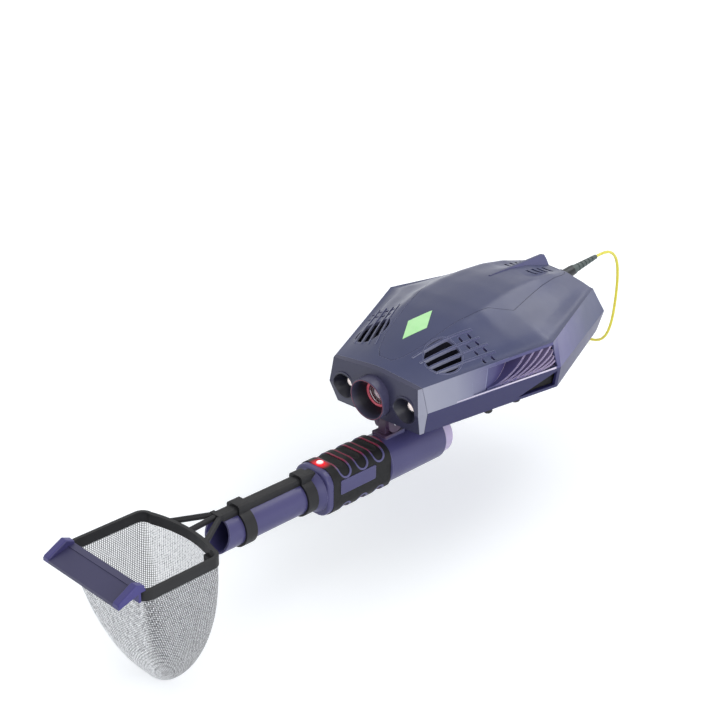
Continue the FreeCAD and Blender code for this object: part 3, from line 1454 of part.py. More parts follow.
save("pump_motor", on_wand(pump_motor()))
save("impeller", on_wand(impeller()))
save("tube_clips", on_wand(tube_clips()))
save("net_rail", on_wand(net_rail()))
save("net_frame", on_wand(net_frame()))
save("net_bag", on_wand(net_bag()))
save("front_lip", on_wand(front_lip()))
save("tether_socket", tether_socket())
save("tether_nut", tether_nut())
save("tether_plug", tether_plug())
save("strain_relief", strain_relief())
save("tether", group([tube_along(cord_route, cord_radius, "run"), tube_along(tail_route, cord_radius, "tail")]))
save("tether_coil", tether_coil())
save("coil_ties", coil_ties())
save("tether_end_plug", tether_end_plug())
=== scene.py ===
# Underwater inspection ROV with a sampling wand, a landing net and a wound tether
import bpy
import bmesh
import math
from mathutils import Matrix, Vector


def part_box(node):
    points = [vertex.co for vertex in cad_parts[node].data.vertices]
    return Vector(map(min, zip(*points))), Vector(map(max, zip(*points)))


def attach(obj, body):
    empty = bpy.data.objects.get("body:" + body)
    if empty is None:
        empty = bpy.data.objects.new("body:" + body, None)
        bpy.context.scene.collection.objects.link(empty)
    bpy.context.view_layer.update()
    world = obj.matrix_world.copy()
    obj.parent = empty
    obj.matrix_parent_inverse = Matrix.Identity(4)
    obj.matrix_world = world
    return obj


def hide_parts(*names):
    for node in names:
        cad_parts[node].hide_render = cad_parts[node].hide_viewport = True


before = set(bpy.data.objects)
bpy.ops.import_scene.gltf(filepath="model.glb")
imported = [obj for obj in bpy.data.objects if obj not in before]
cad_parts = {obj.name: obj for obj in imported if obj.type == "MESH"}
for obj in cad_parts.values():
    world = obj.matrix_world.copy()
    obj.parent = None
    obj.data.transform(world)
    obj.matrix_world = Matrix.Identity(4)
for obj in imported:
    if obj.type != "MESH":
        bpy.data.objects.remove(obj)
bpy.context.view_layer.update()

mm = 0.001


def toMetres(points):
    return [Vector(p) * mm for p in points]


# colours and shader nodes

def linearColour(hexCode):
    levels = [int(hexCode[i:i + 2], 16) / 255 for i in (1, 3, 5)]
    return [v / 12.92 if v <= 0.04045 else ((v + 0.055) / 1.055) ** 2.4 for v in levels] + [1.0]


def addNode(material, kind, settings=None, links=None):
    node = material.node_tree.nodes.new(kind)
    for name, value in (settings or {}).items():
        if isinstance(name, int) or name in node.inputs:
            node.inputs[name].default_value = value
        else:
            setattr(node, name, value)
    for name, source in (links or {}).items():
        material.node_tree.links.new(source, node.inputs[name])
    return node


def newMaterial(name, colour, roughness, settings=None):
    material = bpy.data.materials.new(name)
    material.use_nodes = True
    shader = material.node_tree.nodes["Principled BSDF"]
    shader.inputs["Base Color"].default_value = linearColour(colour)
    shader.inputs["Roughness"].default_value = roughness
    for socket, value in (settings or {}).items():
        shader.inputs[socket].default_value = value
    return material, shader


def place(material):
    return addNode(material, "ShaderNodeTexCoord").outputs["Object"]


def mottled(material, shader, light, dark, grain, share=0.5):
    # cloudy variation between two close colours
    noise = addNode(material, "ShaderNodeTexNoise", {"Scale": 1 / grain, "Detail": 4.0}, {"Vector": place(material)})
    ramp = addNode(material, "ShaderNodeValToRGB", {}, {"Fac": noise.outputs["Fac"]})
    ramp.color_ramp.elements[0].position = 0.5 - share / 2
    ramp.color_ramp.elements[1].position = 0.5 + share / 2
    ramp.color_ramp.elements[0].color = linearColour(dark)
    ramp.color_ramp.elements[1].color = linearColour(light)
    material.node_tree.links.new(ramp.outputs["Color"], shader.inputs["Base Color"])
    return ramp


def roughened(material, shader, low, high, grain):
    # gloss that changes over the surface, as on handled plastic
    noise = addNode(material, "ShaderNodeTexNoise", {"Scale": 1 / grain, "Detail": 3.0}, {"Vector": place(material)})
    span = addNode(material, "ShaderNodeMapRange", {"To Min": low, "To Max": high}, {"Value": noise.outputs["Fac"]})
    material.node_tree.links.new(span.outputs["Result"], shader.inputs["Roughness"])


def pebbled(material, shader, grain, height, strength=0.5):
    # spark-eroded or orange-peel skin: grain and height in metres
    noise = addNode(material, "ShaderNodeTexNoise", {"Scale": 1 / grain, "Detail": 2.0}, {"Vector": place(material)})
    bump = addNode(material, "ShaderNodeBump", {"Distance": height, "Strength": strength},
                   {"Height": noise.outputs["Fac"]})
    material.node_tree.links.new(bump.outputs["Normal"], shader.inputs["Normal"])
    return bump


def paleEdges(material, shader, base, colour, radius, share):
    # painted highlight where light catches on moulded edges: where the rounded normal leaves the true one, the colour
    # is paler; given a dark colour it draws a dark joint line instead
    rounded = addNode(material, "ShaderNodeBevel", {"samples": 4, "Radius": radius})
    true = addNode(material, "ShaderNodeNewGeometry")
    meet = addNode(material, "ShaderNodeVectorMath", {"operation": "DOT_PRODUCT"},
                   {0: rounded.outputs["Normal"], 1: true.outputs["Normal"]})
    mask = addNode(material, "ShaderNodeMapRange", {"From Min": 0.99, "From Max": 0.84, "To Max": share},
                   {"Value": meet.outputs["Value"]})
    return blended(material, shader, base, colour, mask.outputs["Result"])


def blended(material, shader, base, colour, mask):
    # second colour over the first where the mask is white; either may be a socket or a hex code
    mix = addNode(material, "ShaderNodeMix", {"data_type": "RGBA"}, {0: mask})
    for slot, source in ((6, base), (7, colour)):
        if isinstance(source, str):
            mix.inputs[slot].default_value = linearColour(source)
        else:
            material.node_tree.links.new(source, mix.inputs[slot])
    material.node_tree.links.new(mix.outputs[2], shader.inputs["Base Color"])
    return mix.outputs[2]


def facing(material, axis, low, high):
    # mask of the faces whose normal lies along this axis, either way
    normal = addNode(material, "ShaderNodeNewGeometry").outputs["Normal"]
    parts = addNode(material, "ShaderNodeSeparateXYZ", {}, {"Vector": normal})
    size = addNode(material, "ShaderNodeMath", {"operation": "ABSOLUTE"}, {0: parts.outputs[axis]})
    return addNode(material, "ShaderNodeMapRange", {"From Min": low, "From Max": high},
                   {"Value": size.outputs[0]}).outputs["Result"]


def colourAlong(material, axis, stops):
    # colours laid along one axis of the object, as (place in millimetres, hex code)
    parts = addNode(material, "ShaderNodeSeparateXYZ", {}, {"Vector": place(material)})
    first, last = stops[0][0], stops[-1][0]
    run = addNode(material, "ShaderNodeMapRange", {"From Min": first * mm, "From Max": last * mm},
                  {"Value": parts.outputs[axis]})
    ramp = addNode(material, "ShaderNodeValToRGB", {}, {"Fac": run.outputs["Result"]})
    knots = ramp.color_ramp.elements
    while len(knots) < len(stops):
        knots.new(0.5)
    for knot, (spot, colour) in zip(knots, stops):
        knot.position = (spot - first) / (last - first)
        knot.color = linearColour(colour)
    return ramp.outputs["Color"]


def nearAxis(material, centre, near, far):
    # mask of what lies close to a line along Y through this centre; both sides of the hull at once
    away = addNode(material, "ShaderNodeVectorMath", {"operation": "ABSOLUTE"}, {0: place(material)})
    parts = addNode(material, "ShaderNodeSeparateXYZ", {}, {"Vector": away.outputs["Vector"]})
    across = addNode(material, "ShaderNodeMath", {"operation": "SUBTRACT", 1: centre[0] * mm},
                     {0: parts.outputs["X"]})
    high = addNode(material, "ShaderNodeSeparateXYZ", {}, {"Vector": place(material)})
    upward = addNode(material, "ShaderNodeMath", {"operation": "SUBTRACT", 1: centre[1] * mm}, {0: high.outputs["Z"]})
    flat = addNode(material, "ShaderNodeCombineXYZ", {}, {"X": across.outputs[0], "Y": upward.outputs[0]})
    reach = addNode(material, "ShaderNodeVectorMath", {"operation": "LENGTH"}, {0: flat.outputs["Vector"]})
    return addNode(material, "ShaderNodeMapRange", {"From Min": far * mm, "From Max": near * mm},
                   {"Value": reach.outputs["Value"]}).outputs["Result"]


# the frame's pieces are dressed by name

def dress(names, material):
    for name in names:
        piece = bpy.data.objects[name]
        piece.data.materials.clear()
        piece.data.materials.append(material)


def paintOf(shader):
    # the colour that feeds this shader so far
    return shader.inputs["Base Color"].links[0].from_socket


def satinAbs(name, light, dark, roughness, coat=0.12):
    # ABS moulding, satin painted: soft broad highlights and a faint orange peel
    material, shader = newMaterial(name, light, roughness, {"Coat Weight": coat, "Coat Roughness": 0.25,
                                                       "Specular IOR Level": 0.36})
    mottled(material, shader, light, dark, 45 * mm)
    roughened(material, shader, roughness - 0.05, roughness + 0.07, 12 * mm)
    pebbled(material, shader, 0.9 * mm, 0.02 * mm, 0.25)  # real peel is 0.3 mm, drawn coarser to show
    return material


# the edge colour is a painted highlight on the grille slats' edges; the nose side colour and the pale nose end of the
# side colours are painted highlights where light falls on the side facets; the bore colour is painted shade in the
# lamp bores
hullPaint = {"deckLight": "#3f4466", "deckDark": "#393e5e", "lowerLight": "#252453", "lowerDark": "#21204e",
             "noseLight": "#3b3b54", "noseDark": "#36364e", "edge": "#8f90ac", "seam": "#24263a", "bore": "#1c1c2c",
             "roughness": 0.36, "noseSidePaintedHighlight": "#8b8c9d",
             "sides": [(-124, "#9495a5"), (-86, "#86889c"), (-48, "#4a4874"), (0, "#4f4c7a"), (126, "#545184")],
             "grilleFrom": -100.0, "grilleTo": -38.0, "lamp": (35.0, -0.5), "lampRadius": 11.9}


def paintHull(p):
    deck = satinAbs("satinPaintedAbsDeck", p["deckLight"], p["deckDark"], p["roughness"])
    shader = deck.node_tree.nodes["Principled BSDF"]
    cloudy = paintOf(shader)
    # the sides are painted paler near the nose, a painted highlight where the light falls on them, and deepen towards
    # the scoop
    sides = colourAlong(deck, "Y", p["sides"])
    painted = blended(deck, shader, sides, cloudy, facing(deck, "Z", 0.18, 0.34))
    # only the grilles' slats get a painted highlight at their edges; the joint round the canopy is a dark line
    edges = colourAlong(deck, "Y", [(p["grilleFrom"], p["edge"]), (p["grilleTo"], p["edge"]),
                                    (p["grilleTo"] + 1, p["seam"]), (p["grilleTo"] + 2, p["seam"])])
    paleEdges(deck, shader, painted, edges, 0.5 * mm, 0.75)
    canopy = satinAbs("satinPaintedAbsCanopy", p["deckLight"], p["deckDark"], p["roughness"])
    shader = canopy.node_tree.nodes["Principled BSDF"]
    cloudy = paintOf(shader)
    paleEdges(canopy, shader, cloudy, p["seam"], 0.45 * mm, 0.8)
    lower = satinAbs("satinPaintedAbsBelly", p["lowerLight"], p["lowerDark"], 0.42)
    nose = satinAbs("satinPaintedAbsNose", p["noseLight"], p["noseDark"], p["roughness"])
    shader = nose.node_tree.nodes["Principled BSDF"]
    cloudy = paintOf(shader)
    # the side facets, whose normals lie along X, take the paler nose side colour: a painted highlight where the light
    # falls on them
    painted = blended(nose, shader, cloudy, p["noseSidePaintedHighlight"], facing(nose, "X", 0.75, 0.9))
    painted = paleEdges(nose, shader, painted, p["seam"], 0.45 * mm, 0.7)
    # painted shade: the lamp bores are darker inside
    blended(nose, shader, painted, p["bore"], nearAxis(nose, p["lamp"], p["lampRadius"] - 0.3, p["lampRadius"]))
    dress(["upper_shell", "tail_fin", "port_deck_grille", "starboard_deck_grille"], deck)
    dress(["canopy_panel"], canopy)
    dress(["lower_shell"], lower)
    dress(["nose_bezel"], nose)
    # barrel: the same ABS, with a painted highlight on its edges and painted shade darkening its bore
    barrel = satinAbs("satinMouldedAbsBarrel", "#413f5a", "#3a3852", 0.4)
    shader = barrel.node_tree.nodes["Principled BSDF"]
    cloudy = paintOf(shader)
    painted = paleEdges(barrel, shader, cloudy, "#8b7f9c", 0.5 * mm, 0.6)
    blended(barrel, shader, painted, "#1c1a26", nearAxis(barrel, (0.0, 1.5), 15.0, 18.2))
    dress(["camera_barrel"], barrel)
    # bracket: dark aubergine, tinted red by the glow of the lens ring
    bracket = satinAbs("satinMouldedAbsBracket", "#4a3350", "#3f2c49", 0.42)
    dress(["neck_bracket"], bracket)


paintHull(hullPaint)


def greenWindow():
    # light-diffusing polycarbonate: even pale green with a weak glow from the lamp below
    material, shader = newMaterial("diffusingPolycarbonateGreen", "#b0e6a2", 0.35,
                                   {"Subsurface Weight": 0.2, "Subsurface Radius": (0.004, 0.006, 0.004),
                                    "Emission Color": linearColour("#8fe08c"), "Emission Strength": 0.16})
    mottled(material, shader, "#bce8b0", "#aedfa2", 9 * mm)
    pebbled(material, shader, 0.5 * mm, 0.01 * mm, 0.3)
    dress(["status_window"], material)


greenWindow()


def darkPlastics():
    # glass-filled nylon: near black, finely spark-eroded, with faint flow streaks
    nylon, shader = newMaterial("glassFilledNylonBlack", "#1a1a1d", 0.48, {"Specular IOR Level": 0.3})
    mottled(nylon, shader, "#1e1e21", "#151518", 20 * mm)
    roughened(nylon, shader, 0.42, 0.58, 5 * mm)
    pebbled(nylon, shader, 0.6 * mm, 0.03 * mm, 0.4)
    dress(["tube_clips", "net_rail", "net_frame", "tether_nut", "ballast_plugs", "electronics_case", "case_lid",
           "tether_end_plug"], nylon)
    duct, shader = newMaterial("mouldedAbsDuct", "#1d1d2c", 0.5)
    mottled(duct, shader, "#222233", "#181824", 15 * mm)
    pebbled(duct, shader, 0.5 * mm, 0.02 * mm, 0.3)
    dress(["port_lift_duct", "starboard_lift_duct", "rear_lift_duct", "port_drive_duct",
           "starboard_drive_duct"], duct)
    blade, shader = newMaterial("carbonFilledNylonBlades", "#1b1b1e", 0.32)
    stripes = addNode(blade, "ShaderNodeTexNoise", {"Scale": 900.0, "Detail": 2.0, "Distortion": 2.0},
                      {"Vector": place(blade)})
    bump = addNode(blade, "ShaderNodeBump", {"Distance": 0.02 * mm, "Strength": 0.3},
                   {"Height": stripes.outputs["Fac"]})
    blade.node_tree.links.new(bump.outputs["Normal"], shader.inputs["Normal"])
    mottled(blade, shader, "#232327", "#161618", 6 * mm)
    dress(["port_lift_propeller", "starboard_lift_propeller", "rear_lift_propeller", "port_drive_propeller",
           "starboard_drive_propeller", "impeller"], blade)


darkPlastics()


def buttonTop():
    low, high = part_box("grip_button")
    return ((low[0] + high[0]) / 2, (low[1] + high[1]) / 2, high[2])


def wandPlastics():
    violet = satinAbs("satinMouldedAbsViolet", "#46436f", "#403d68", 0.36, 0.1)
    shader = violet.node_tree.nodes["Principled BSDF"]
    # painted highlight on the edges of the tube and the grip panel
    paleEdges(violet, shader, paintOf(shader), "#8683ab", 0.5 * mm, 0.6)
    dress(["suction_tube", "grip_panel"], violet)
    # saddle under the hull: the same ABS, tinted dark maroon by the glow above it
    saddle = satinAbs("satinMouldedAbsSaddle", "#46436f", "#403d68", 0.36, 0.1)
    shader = saddle.node_tree.nodes["Principled BSDF"]
    upward = addNode(saddle, "ShaderNodeSeparateXYZ", {}, {"Vector": place(saddle)})
    neck = addNode(saddle, "ShaderNodeMapRange", {"From Min": -41 * mm, "From Max": -38.5 * mm},
                   {"Value": upward.outputs["Z"]})
    painted = blended(saddle, shader, paintOf(shader), "#453049", neck.outputs["Result"])
    # painted highlight on the saddle's edges
    paleEdges(saddle, shader, painted, "#76739a", 0.5 * mm, 0.5)
    dress(["wand_housing"], saddle)
    # inlays: the same ABS, reddened near the middle by the lit button
    inlay = satinAbs("satinMouldedAbsInlay", "#55527e", "#4e4b76", 0.36, 0.1)
    shader = inlay.node_tree.nodes["Principled BSDF"]
    parts = addNode(inlay, "ShaderNodeSeparateXYZ", {}, {"Vector": place(inlay)})
    across = addNode(inlay, "ShaderNodeMath", {"operation": "ABSOLUTE"}, {0: parts.outputs["X"]})
    middle = addNode(inlay, "ShaderNodeMapRange", {"From Min": 15 * mm, "From Max": 9 * mm},
                     {"Value": across.outputs[0]})
    blended(inlay, shader, paintOf(shader), "#8a3048", middle.outputs["Result"])
    dress(["grip_inlays"], inlay)
    lip = satinAbs("satinMouldedAbsLip", "#3a385a", "#343253", 0.45, 0.05)
    shader = lip.node_tree.nodes["Principled BSDF"]
    # the thicker ears look a deeper, clearer violet
    parts = addNode(lip, "ShaderNodeSeparateXYZ", {}, {"Vector": place(lip)})
    across = addNode(lip, "ShaderNodeMath", {"operation": "ABSOLUTE"}, {0: parts.outputs["X"]})
    ears = addNode(lip, "ShaderNodeMapRange", {"From Min": 37.5 * mm, "From Max": 39 * mm},
                   {"Value": across.outputs[0]})
    blended(lip, shader, paintOf(shader), "#3d3876", ears.outputs["Result"])
    dress(["front_lip"], lip)
    # lilac polycarbonate: milky, a little light passes through
    lilac, shader = newMaterial("milkyPolycarbonateLilac", "#b3a6c8", 0.4, {"Subsurface Weight": 0.3})
    shader.inputs["Subsurface Radius"].default_value = (0.006, 0.005, 0.007)
    mottled(lilac, shader, "#baadce", "#aa9dc0", 14 * mm)
    pebbled(lilac, shader, 0.7 * mm, 0.02 * mm, 0.3)
    dress(["end_cap"], lilac)
    # thermoplastic rubber grip: matt, slightly dusty black with a fine pebble skin
    grip, shader = newMaterial("overmouldedRubberGrip", "#0f0f11", 0.62,
                               {"Sheen Weight": 0.04, "Specular IOR Level": 0.25})
    mottled(grip, shader, "#121215", "#0b0b0d", 10 * mm)
    roughened(grip, shader, 0.45, 0.7, 3 * mm)
    pebbled(grip, shader, 0.7 * mm, 0.06 * mm, 0.5)
    dress(["grip_sleeve"], grip)
    # the lit button's glow soaks into the rubber round it
    lit = addNode(grip, "ShaderNodeVectorMath", {"operation": "DISTANCE", 1: buttonTop()}, {0: place(grip)})
    glow = addNode(grip, "ShaderNodeMapRange", {"interpolation_type": "SMOOTHERSTEP", "From Min": 2.5 * mm,
                   "From Max": 11 * mm, "To Min": 1.3, "To Max": 0.0}, {"Value": lit.outputs["Value"]})
    grip.node_tree.links.new(glow.outputs["Result"], shader.inputs["Emission Strength"])
    shader.inputs["Emission Color"].default_value = linearColour("#d01420")
    sole, shader = newMaterial("mouldedRubberFeet", "#18181b", 0.65)
    mottled(sole, shader, "#1d1d20", "#131316", 6 * mm)
    pebbled(sole, shader, 0.6 * mm, 0.05 * mm, 0.5)
    dress(["belly_feet", "cap_seal"], sole)


wandPlastics()


def scoopPlastic():
    # matt ABS: dusky violet where the scoop begins, mauve at the ribs, whose edges catch the light
    mauve, shader = newMaterial("mattMouldedAbsMauve", "#8d86a6", 0.5)
    depth = colourAlong(mauve, "Y", [(-74, "#57577a"), (-56, "#43426e"), (-30, "#4f4776"), (4, "#7d7096")])
    edges = colourAlong(mauve, "Y", [(-74, "#57577a"), (-50, "#43426e"), (-40, "#cdbbd4"), (4, "#dccbe0")])
    paleEdges(mauve, shader, depth, edges, 0.8 * mm, 0.9)
    pebbled(mauve, shader, 0.7 * mm, 0.02 * mm, 0.3)
    dress(["port_scoop_louvre", "starboard_scoop_louvre"], mauve)


scoopPlastic()


def metalsAndElectronics():
    # stainless steel, turned: fine rings of scratches
    steel, shader = newMaterial("turnedStainlessSteel", "#b9bac0", 0.3, {"Metallic": 1.0})
    roughened(steel, shader, 0.22, 0.4, 1.5 * mm)
    pebbled(steel, shader, 0.4 * mm, 0.01 * mm, 0.3)
    dress(["shell_screws", "neck_screws", "tilt_pin"], steel)
    # anodised aluminium: dull metal with an even bloom
    anodised, shader = newMaterial("anodisedAluminium", "#8d9096", 0.36, {"Metallic": 1.0})
    roughened(anodised, shader, 0.3, 0.45, 2 * mm)
    pebbled(anodised, shader, 0.5 * mm, 0.01 * mm, 0.2)
    dress(["thruster_motors", "pump_motor", "lamp_modules"], anodised)
    dark, shader = newMaterial("blackAnodisedAluminium", "#2c2f31", 0.38, {"Metallic": 0.6})
    roughened(dark, shader, 0.3, 0.5, 2 * mm)
    pebbled(dark, shader, 0.5 * mm, 0.01 * mm, 0.3)
    dress(["tether_socket", "tether_plug"], dark)
    # lens stack: turned silver rings round a dark pupil; their colours are also given off as a weak glow, painted
    # light on a part that is no lamp
    lens, shader = newMaterial("turnedSilverLensStack", "#c9c9cc", 0.25,
                               {"Metallic": 0.4, "Emission Strength": 0.3})
    flat = addNode(lens, "ShaderNodeVectorMath", {"operation": "MULTIPLY", 1: (1, 0, 1)}, {0: place(lens)})
    away = addNode(lens, "ShaderNodeVectorMath", {"operation": "DISTANCE", 1: (0, 0, 1.5 * mm)},
                   {0: flat.outputs["Vector"]})
    rings = addNode(lens, "ShaderNodeMapRange", {"From Max": 10 * mm}, {"Value": away.outputs["Value"]})
    ramp = addNode(lens, "ShaderNodeValToRGB", {}, {"Fac": rings.outputs["Result"]})
    knots = ramp.color_ramp.elements
    for spot in (0.1, 0.2, 0.34, 0.5, 0.7):
        knots.new(spot)
    for knot, colour in zip(knots, ("#f2f2f4", "#6d6a70", "#e3e2e6", "#a9a6ac", "#ecebef", "#7f6f7a", "#3a2f3a")):
        knot.color = linearColour(colour)
    for socket in ("Base Color", "Emission Color"):
        lens.node_tree.links.new(ramp.outputs["Color"], shader.inputs[socket])
    pebbled(lens, shader, 0.5 * mm, 0.01 * mm, 0.3)
    dress(["camera_module"], lens)
    # epoxy board with solder mask: green, copper tracks just visible
    board, shader = newMaterial("solderMaskedEpoxyBoard", "#123f22", 0.3)
    brick = addNode(board, "ShaderNodeTexBrick", {"Scale": 1 / (6 * mm), "Mortar Size": 0.03,
                    "Color1": linearColour("#123f22"), "Color2": linearColour("#174b2a"),
                    "Mortar": linearColour("#2c7a45")}, {"Vector": place(board)})
    board.node_tree.links.new(brick.outputs["Color"], shader.inputs["Base Color"])
    dress(["main_board"], board)
    # heat-shrink PVC on lithium cells: glossy blue with soft wrinkles
    wrap, shader = newMaterial("heatShrinkPvcBlue", "#1c4c96", 0.25)
    mottled(wrap, shader, "#2155a2", "#184487", 16 * mm)
    pebbled(wrap, shader, 7 * mm, 0.2 * mm, 0.4)
    dress(["battery_pack", "wand_cells"], wrap)


metalsAndElectronics()


def clearPorts():
    # optical acrylic: clear with a faint coating tint
    clear, shader = newMaterial("coatedOpticalAcrylic", "#f4e6ea", 0.03, {"Transmission Weight": 1.0, "IOR": 1.49})
    pebbled(clear, shader, 3 * mm, 0.002 * mm, 0.2)
    dress(["camera_window", "lamp_lenses"], clear)


clearPorts()


def litButton():
    # clear red polycarbonate over a light: white-hot at the middle and red at the rim
    red, shader = newMaterial("litPolycarbonateRed", "#e02030", 0.25, {"Emission Strength": 2.2})
    offset = addNode(red, "ShaderNodeVectorMath", {"operation": "DISTANCE", 1: buttonTop()}, {0: place(red)})
    ramp = addNode(red, "ShaderNodeValToRGB")
    span = addNode(red, "ShaderNodeMapRange", {"From Min": 1.2 * mm, "From Max": 3.4 * mm},
                   {"Value": offset.outputs["Value"]})
    red.node_tree.links.new(span.outputs["Result"], ramp.inputs["Fac"])
    ramp.color_ramp.elements[0].color = linearColour("#fff4f2")
    ramp.color_ramp.elements[1].color = linearColour("#e8101c")
    red.node_tree.links.new(ramp.outputs["Color"], shader.inputs["Emission Color"])
    dress(["grip_button"], red)


litButton()


# small trim that the frame doesn't carry

def apply(piece, centre, turn=(0, 0, 0)):
    # modifiers and place go into the mesh
    piece.rotation_euler = turn
    piece.location = centre
    bpy.context.view_layer.objects.active = piece
    for modifier in list(piece.modifiers):
        bpy.ops.object.modifier_apply(modifier=modifier.name)
    bpy.ops.object.transform_apply(location=True, rotation=True, scale=True)


def rounded(piece, width):
    edge = piece.modifiers.new("edge", "BEVEL")
    edge.width = width
    edge.segments = 3
    edge.limit_method = "ANGLE"


def turnedRing(name, radius, width, length, centre, turn):
    # a tube wall, thickened inwards and rounded
    bpy.ops.object.select_all(action="DESELECT")
    bpy.ops.mesh.primitive_cylinder_add(vertices=96, radius=radius * mm, depth=length * mm, end_fill_type="NOTHING")
    ring = bpy.context.object
    ring.name = name
    wall = ring.modifiers.new("wall", "SOLIDIFY")
    wall.thickness = width * mm
    wall.offset = -1
    rounded(ring, 0.3 * min(width, length) * mm)
    apply(ring, centre, turn)
    bpy.ops.object.shade_smooth_by_angle(angle=math.radians(40))
    return ring


def steppedDisc(name, radius, length, steps, centre, turn):
    # a turned disc: its front is inset and sunk in steps
    bpy.ops.object.select_all(action="DESELECT")
    bpy.ops.mesh.primitive_cylinder_add(vertices=64, radius=radius * mm, depth=length * mm)
    disc = bpy.context.object
    disc.name = name
    bpy.ops.object.mode_set(mode="EDIT")
    bpy.ops.mesh.select_mode(type="FACE")
    bpy.ops.mesh.select_all(action="DESELECT")
    faces = bmesh.from_edit_mesh(disc.data)
    for face in faces.faces:
        face.select = face.normal.z > 0.9
    bmesh.update_edit_mesh(disc.data)
    for inward, sink in steps:
        bpy.ops.mesh.inset(thickness=inward * mm, depth=-sink * mm)
    bpy.ops.object.mode_set(mode="OBJECT")
    apply(disc, centre, turn)
    bpy.ops.object.shade_smooth_by_angle(angle=math.radians(40))
    return disc


def bar(name, size, centre, turn, taper):
    # a long strip with rounded edges whose front end is drawn thin
    bpy.ops.object.select_all(action="DESELECT")
    bpy.ops.mesh.primitive_cube_add(size=1, scale=[v * mm for v in size])
    strip = bpy.context.object
    strip.name = name
    bpy.ops.object.mode_set(mode="EDIT")
    bpy.ops.mesh.select_mode(type="FACE")
    bpy.ops.mesh.select_all(action="DESELECT")
    faces = bmesh.from_edit_mesh(strip.data)
    for face in faces.faces:
        face.select = face.normal.y < -0.9
    bmesh.update_edit_mesh(strip.data)
    bpy.ops.transform.resize(value=(1, 1, taper))
    bpy.ops.object.mode_set(mode="OBJECT")
    rounded(strip, 0.25 * min(size) * mm)
    apply(strip, centre, turn)
    return strip


def finish(piece, material, body):
    piece.data.materials.clear()
    piece.data.materials.append(material)
    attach(piece, body)


# the strip values place the pale strip, a painted highlight along the divider's edge; the values for the sheet behind
# the lower slot place painted shade
chine = {"noseY": -124.0, "noseHalf": 51.0, "shoulderY": 13.8, "shoulderHalf": 94.0,
         "stripFrom": -88.0, "stripTo": 9.0, "stripHeight": 1.9, "stripZ": 1.15, "proud": 0.3,
         "shadeSheetFrom": -28.0, "shadeSheetTo": 12.0, "shadeSheetDepth": 8.0, "shadeSheetZ": -9.6, "shadeSheetSize": (0.8, 16.4)}


def chinePoint(c, y, inwards):
    slope = (c["shoulderHalf"] - c["noseHalf"]) / (c["shoulderY"] - c["noseY"])
    turn = math.atan(slope)
    x = c["noseHalf"] + (y - c["noseY"]) * slope
    return x - inwards * math.cos(turn), y + inwards * math.sin(turn), turn


def alongChine(c, name, start, end, z, size, inwards, taper, side):
    x, y, turn = chinePoint(c, (start + end) / 2, inwards)
    length = (end - start) / math.cos(turn)
    return bar(name, (size[0], length, size[1]), toMetres([(side * x, y, z)])[0], (0, 0, -side * turn), taper)


def dividerTrim(c):
    # polished strip on the divider's edge, pale and faintly pink: a painted highlight along the edge, glossy enough
    # for a sharp highlight of its own
    highlightStrip, shader = newMaterial("polishedPaintedHighlightStrip", "#cfc6da", 0.28, {"Coat Weight": 0.3})
    mottled(highlightStrip, shader, "#d8cfe0", "#c2b8d0", 20 * mm)
    pebbled(highlightStrip, shader, 0.8 * mm, 0.01 * mm, 0.3)
    # matt black sheet behind the lower slot that hides the inside: painted shade standing in for the slot's dark
    # interior
    shadeSheet, shader = newMaterial("paintedShadeSheetBlack", "#0d0d11", 0.8)
    mottled(shadeSheet, shader, "#121217", "#09090c", 5 * mm)
    pebbled(shadeSheet, shader, 1.2 * mm, 0.1 * mm, 0.5)
    for side, word in ((1, "port"), (-1, "starboard")):
        strip = alongChine(c, word + "DividerHighlightStrip", c["stripFrom"], c["stripTo"], c["stripZ"],
                           (1.0, c["stripHeight"]), 0.5 - c["proud"], 0.35, side)
        finish(strip, highlightStrip, "hull")
        sheet = alongChine(c, word + "SlotShadeSheet", c["shadeSheetFrom"], c["shadeSheetTo"], c["shadeSheetZ"], c["shadeSheetSize"],
                           c["shadeSheetDepth"], 1.0, side)
        finish(sheet, shadeSheet, "hull")


dividerTrim(chine)


eye = {"axisZ": 1.5, "ringRadius": 12.0, "ringWidth": 2.1, "ringY": -117.75, "ringLength": 1.2, "rimRadius": 18.2,
       "rimWidth": 0.5, "rimY": -130.9, "lampX": 35.0, "lampZ": -0.5, "ledY": -110.16, "ledRadius": 4.2}


